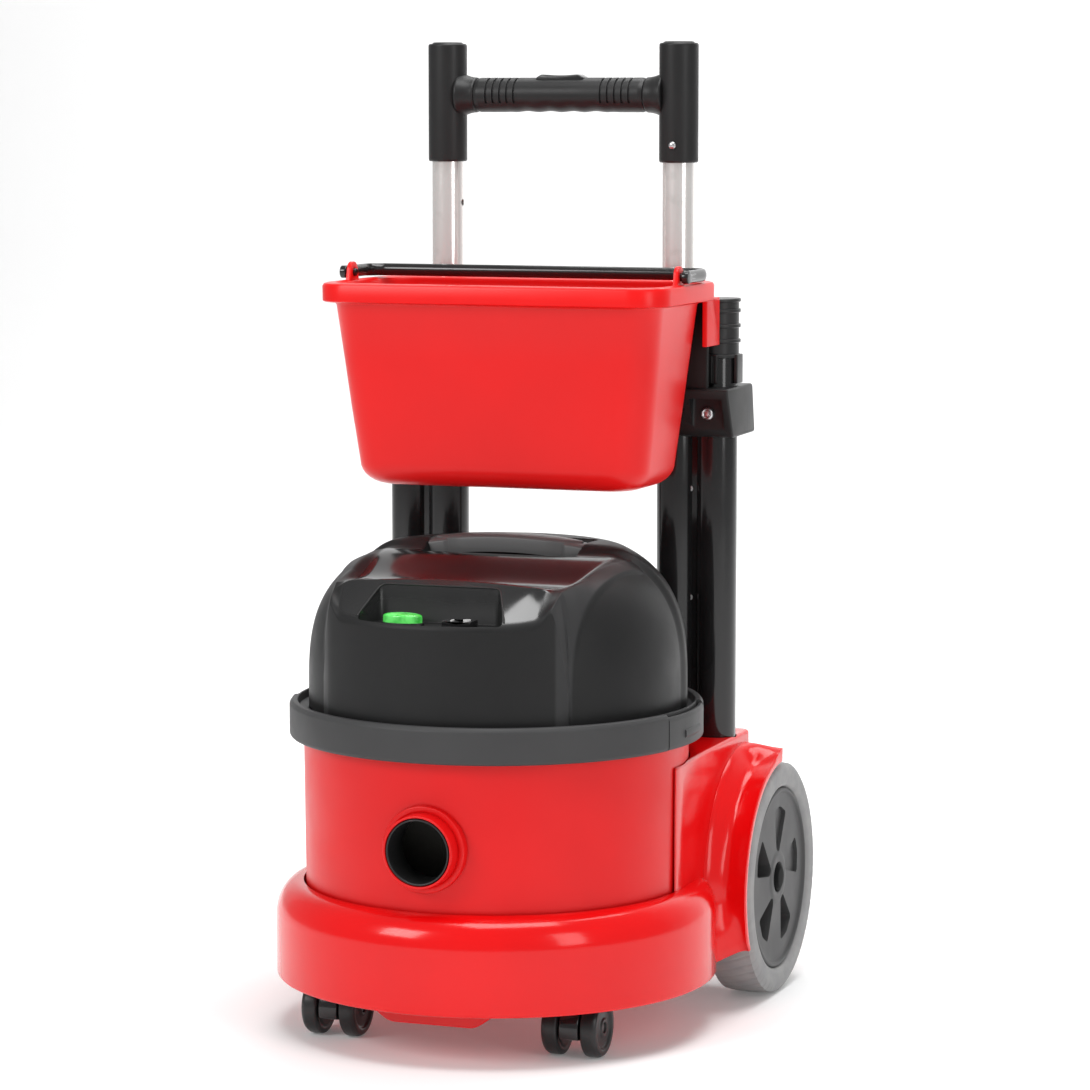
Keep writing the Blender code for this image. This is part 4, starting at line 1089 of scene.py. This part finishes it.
def build_caddy():
    """The bucket, the flap that hooks on the brackets, and the bail's two lugs."""
    parts = [block((-152, 152), (135.6, 139), (572, 613), 0.8, 1.0)]
    lug = [(BAIL_Y + 12, 620), *arc((BAIL_Y, BAIL_Z + 1), 8, 0, 180, 12), (BAIL_Y - 12, 620)]
    for _, side in SIDES:
        parts.append(block(span(side, 147.5, 152), (104, 139), (572, 613), 0.8, 1.0))
        parts.append(slab(lug, "x", *span(side, 145.5, 149.6), 0.6))
    holes = [rod(3.7, *span(side, 140, 155), (0, BAIL_Y, BAIL_Z), "x") for _, side in SIDES]
    bucket = cut(join(loft(caddy_loops()), *parts), *holes)
    make("tool_caddy", bucket, RED_CADDY, "caddy_bucket", sharp=40)


def build_bail():
    """A carrying bail: one swept section, with eyes and pins that turn in the bucket's lugs."""
    x_out, bend = 154.5, 15.0
    reach = BAIL_Y + 58.0
    path = [(x_out, BAIL_Y), (x_out, BAIL_Y + 20), (x_out, reach - bend - 6)]
    path += arc((x_out - bend, reach - bend), bend, 0, 90, 10)
    path += [(x_out - bend - across, reach) for across in (8, 40, 80, 120)]
    path += [(-x, y) for x, y in reversed(path)]

    def section(k):
        on_arm = abs(path[k][0]) > x_out - 3
        wide, tall = (2.8, 5.4) if on_arm else (5.0, 5.4)
        return [(wide * math.cos(a), tall * math.sin(a)) for a in [math.tau * j / 24 for j in range(24)]]

    bail = sweep([(x, y, BAIL_Z) for x, y in path], section)
    pivot = (0, BAIL_Y, BAIL_Z)
    extras = []
    for _, side in SIDES:
        extras.append(rod(5.5, *span(side, 151.6, 157.3), pivot, "x", MEDIUM, 0.7))
        extras.append(rod(3.3, *span(side, 143.5, 155.5), pivot, "x", SMALL, 0.5))
    make("carry_bail", join(bail, *extras), BLACK, "bail_handle", sharp=45)


# ---------------- what stays from the frame


def dress(material, *nodes):
    """Gives CAD nodes whose shape is right a better material."""
    for node in nodes:
        for slot in frame["nodes"][node].material_slots:
            slot.material = material


def dress_kept_nodes():
    dress(BLACK_SATIN, "motor_housing")
    dress(MOTOR_METAL, "motor_body", "motor_fan", "hub_bush_left", "hub_bush_right")
    # The filter cloth is coloured near-black: painted shade inside the inlet.
    dress(SHADED_CLOTH, "filter_bag")
    for name, _ in SIDES:
        dress(STEEL, "castor_axle_" + name, "castor_stem_" + name)


# ---------------- studio


def build_camera():
    camera = bpy.data.objects.new("camera", bpy.data.cameras.new("camera"))
    camera.location = (1.1899, -3.1450, 0.7832)
    camera.rotation_euler = (math.radians(90 - 6.459), 0, math.radians(20.33))
    camera.data.lens = 130.70
    camera.data.sensor_width = 36
    bpy.context.scene.collection.objects.link(camera)
    bpy.context.scene.camera = camera


def area_light(name, place, target, size, power):
    light = bpy.data.objects.new(name, bpy.data.lights.new(name, "AREA"))
    light.data.shape = "RECTANGLE"
    light.data.size, light.data.size_y = size
    light.data.energy = power
    light.location = place
    light.rotation_euler = (Vector(target) - Vector(place)).to_track_quat("-Z", "Y").to_euler()
    bpy.context.scene.collection.objects.link(light)


def build_backdrop():
    """A sheet of white paper that runs back over the floor and turns up behind the machine."""
    bm = bmesh.new()
    outline = [(-9.0, 0.0), *arc((4.0, 1.5), 1.5, 270, 360, 24), (5.5, 7.0)]
    rings = [[bm.verts.new((x, y, z)) for y, z in outline] for x in (-9.0, 9.0)]
    for k in range(len(outline) - 1):
        bm.faces.new((rings[0][k], rings[1][k], rings[1][k + 1], rings[0][k + 1]))
    floor = plain_object("floor", bm)
    floor.data.shade_smooth()
    paper = Nodes("floor_paper", (0.86, 0.86, 0.86), 0.85, specular=0.1)
    paper.colour_between(paper.noise(400, 2), (0.85, 0.85, 0.85), (0.87, 0.87, 0.87))
    paper.surface("Emission Color", (1, 1, 1, 1))
    paper.surface("Emission Strength", 0.10)
    floor.data.materials.append(paper.material)


def build_lights():
    world = bpy.data.worlds.new("studio")
    world.use_nodes = True
    world.node_tree.nodes["Background"].inputs["Color"].default_value = (1, 1, 1, 1)
    world.node_tree.nodes["Background"].inputs["Strength"].default_value = 0.38
    bpy.context.scene.world = world
    bpy.context.scene.view_settings.view_transform = "Standard"
    area_light("key", (-2.2, -3.4, 2.6), (0, 0, 0.35), (1.6, 1.6), 74)
    area_light("fill", (3.0, -1.8, 1.5), (0, 0, 0.3), (0.9, 2.0), 22)
    area_light("top", (0.1, 1.2, 3.0), (0, 0, 0.4), (2.2, 1.2), 40)
    area_light("deck_card", (0.28, -0.42, 2.5), (0.07, -0.175, 0.38), (1.4, 1.1), 34)
    area_light("backdrop", (0.0, 1.6, 3.2), (0, 5.0, 1.5), (4.0, 1.0), 160)


build_camera()
build_backdrop()
build_lights()
build_base()
for side_name, side_sign in SIDES:
    build_tyre(side_name, side_sign)
    build_hub(side_name, side_sign)
    build_castor(side_name, side_sign)
    build_post(side_name, side_sign)
build_tub()
build_inlet()
build_head()
build_pocket_rim()
build_switch_plate()
build_button()
build_rocker()
build_carry_handle()
build_ring()
build_gland()
build_rail()
build_handle()
build_grip()
build_release_button()
build_caddy()
build_bail()
dress_kept_nodes()
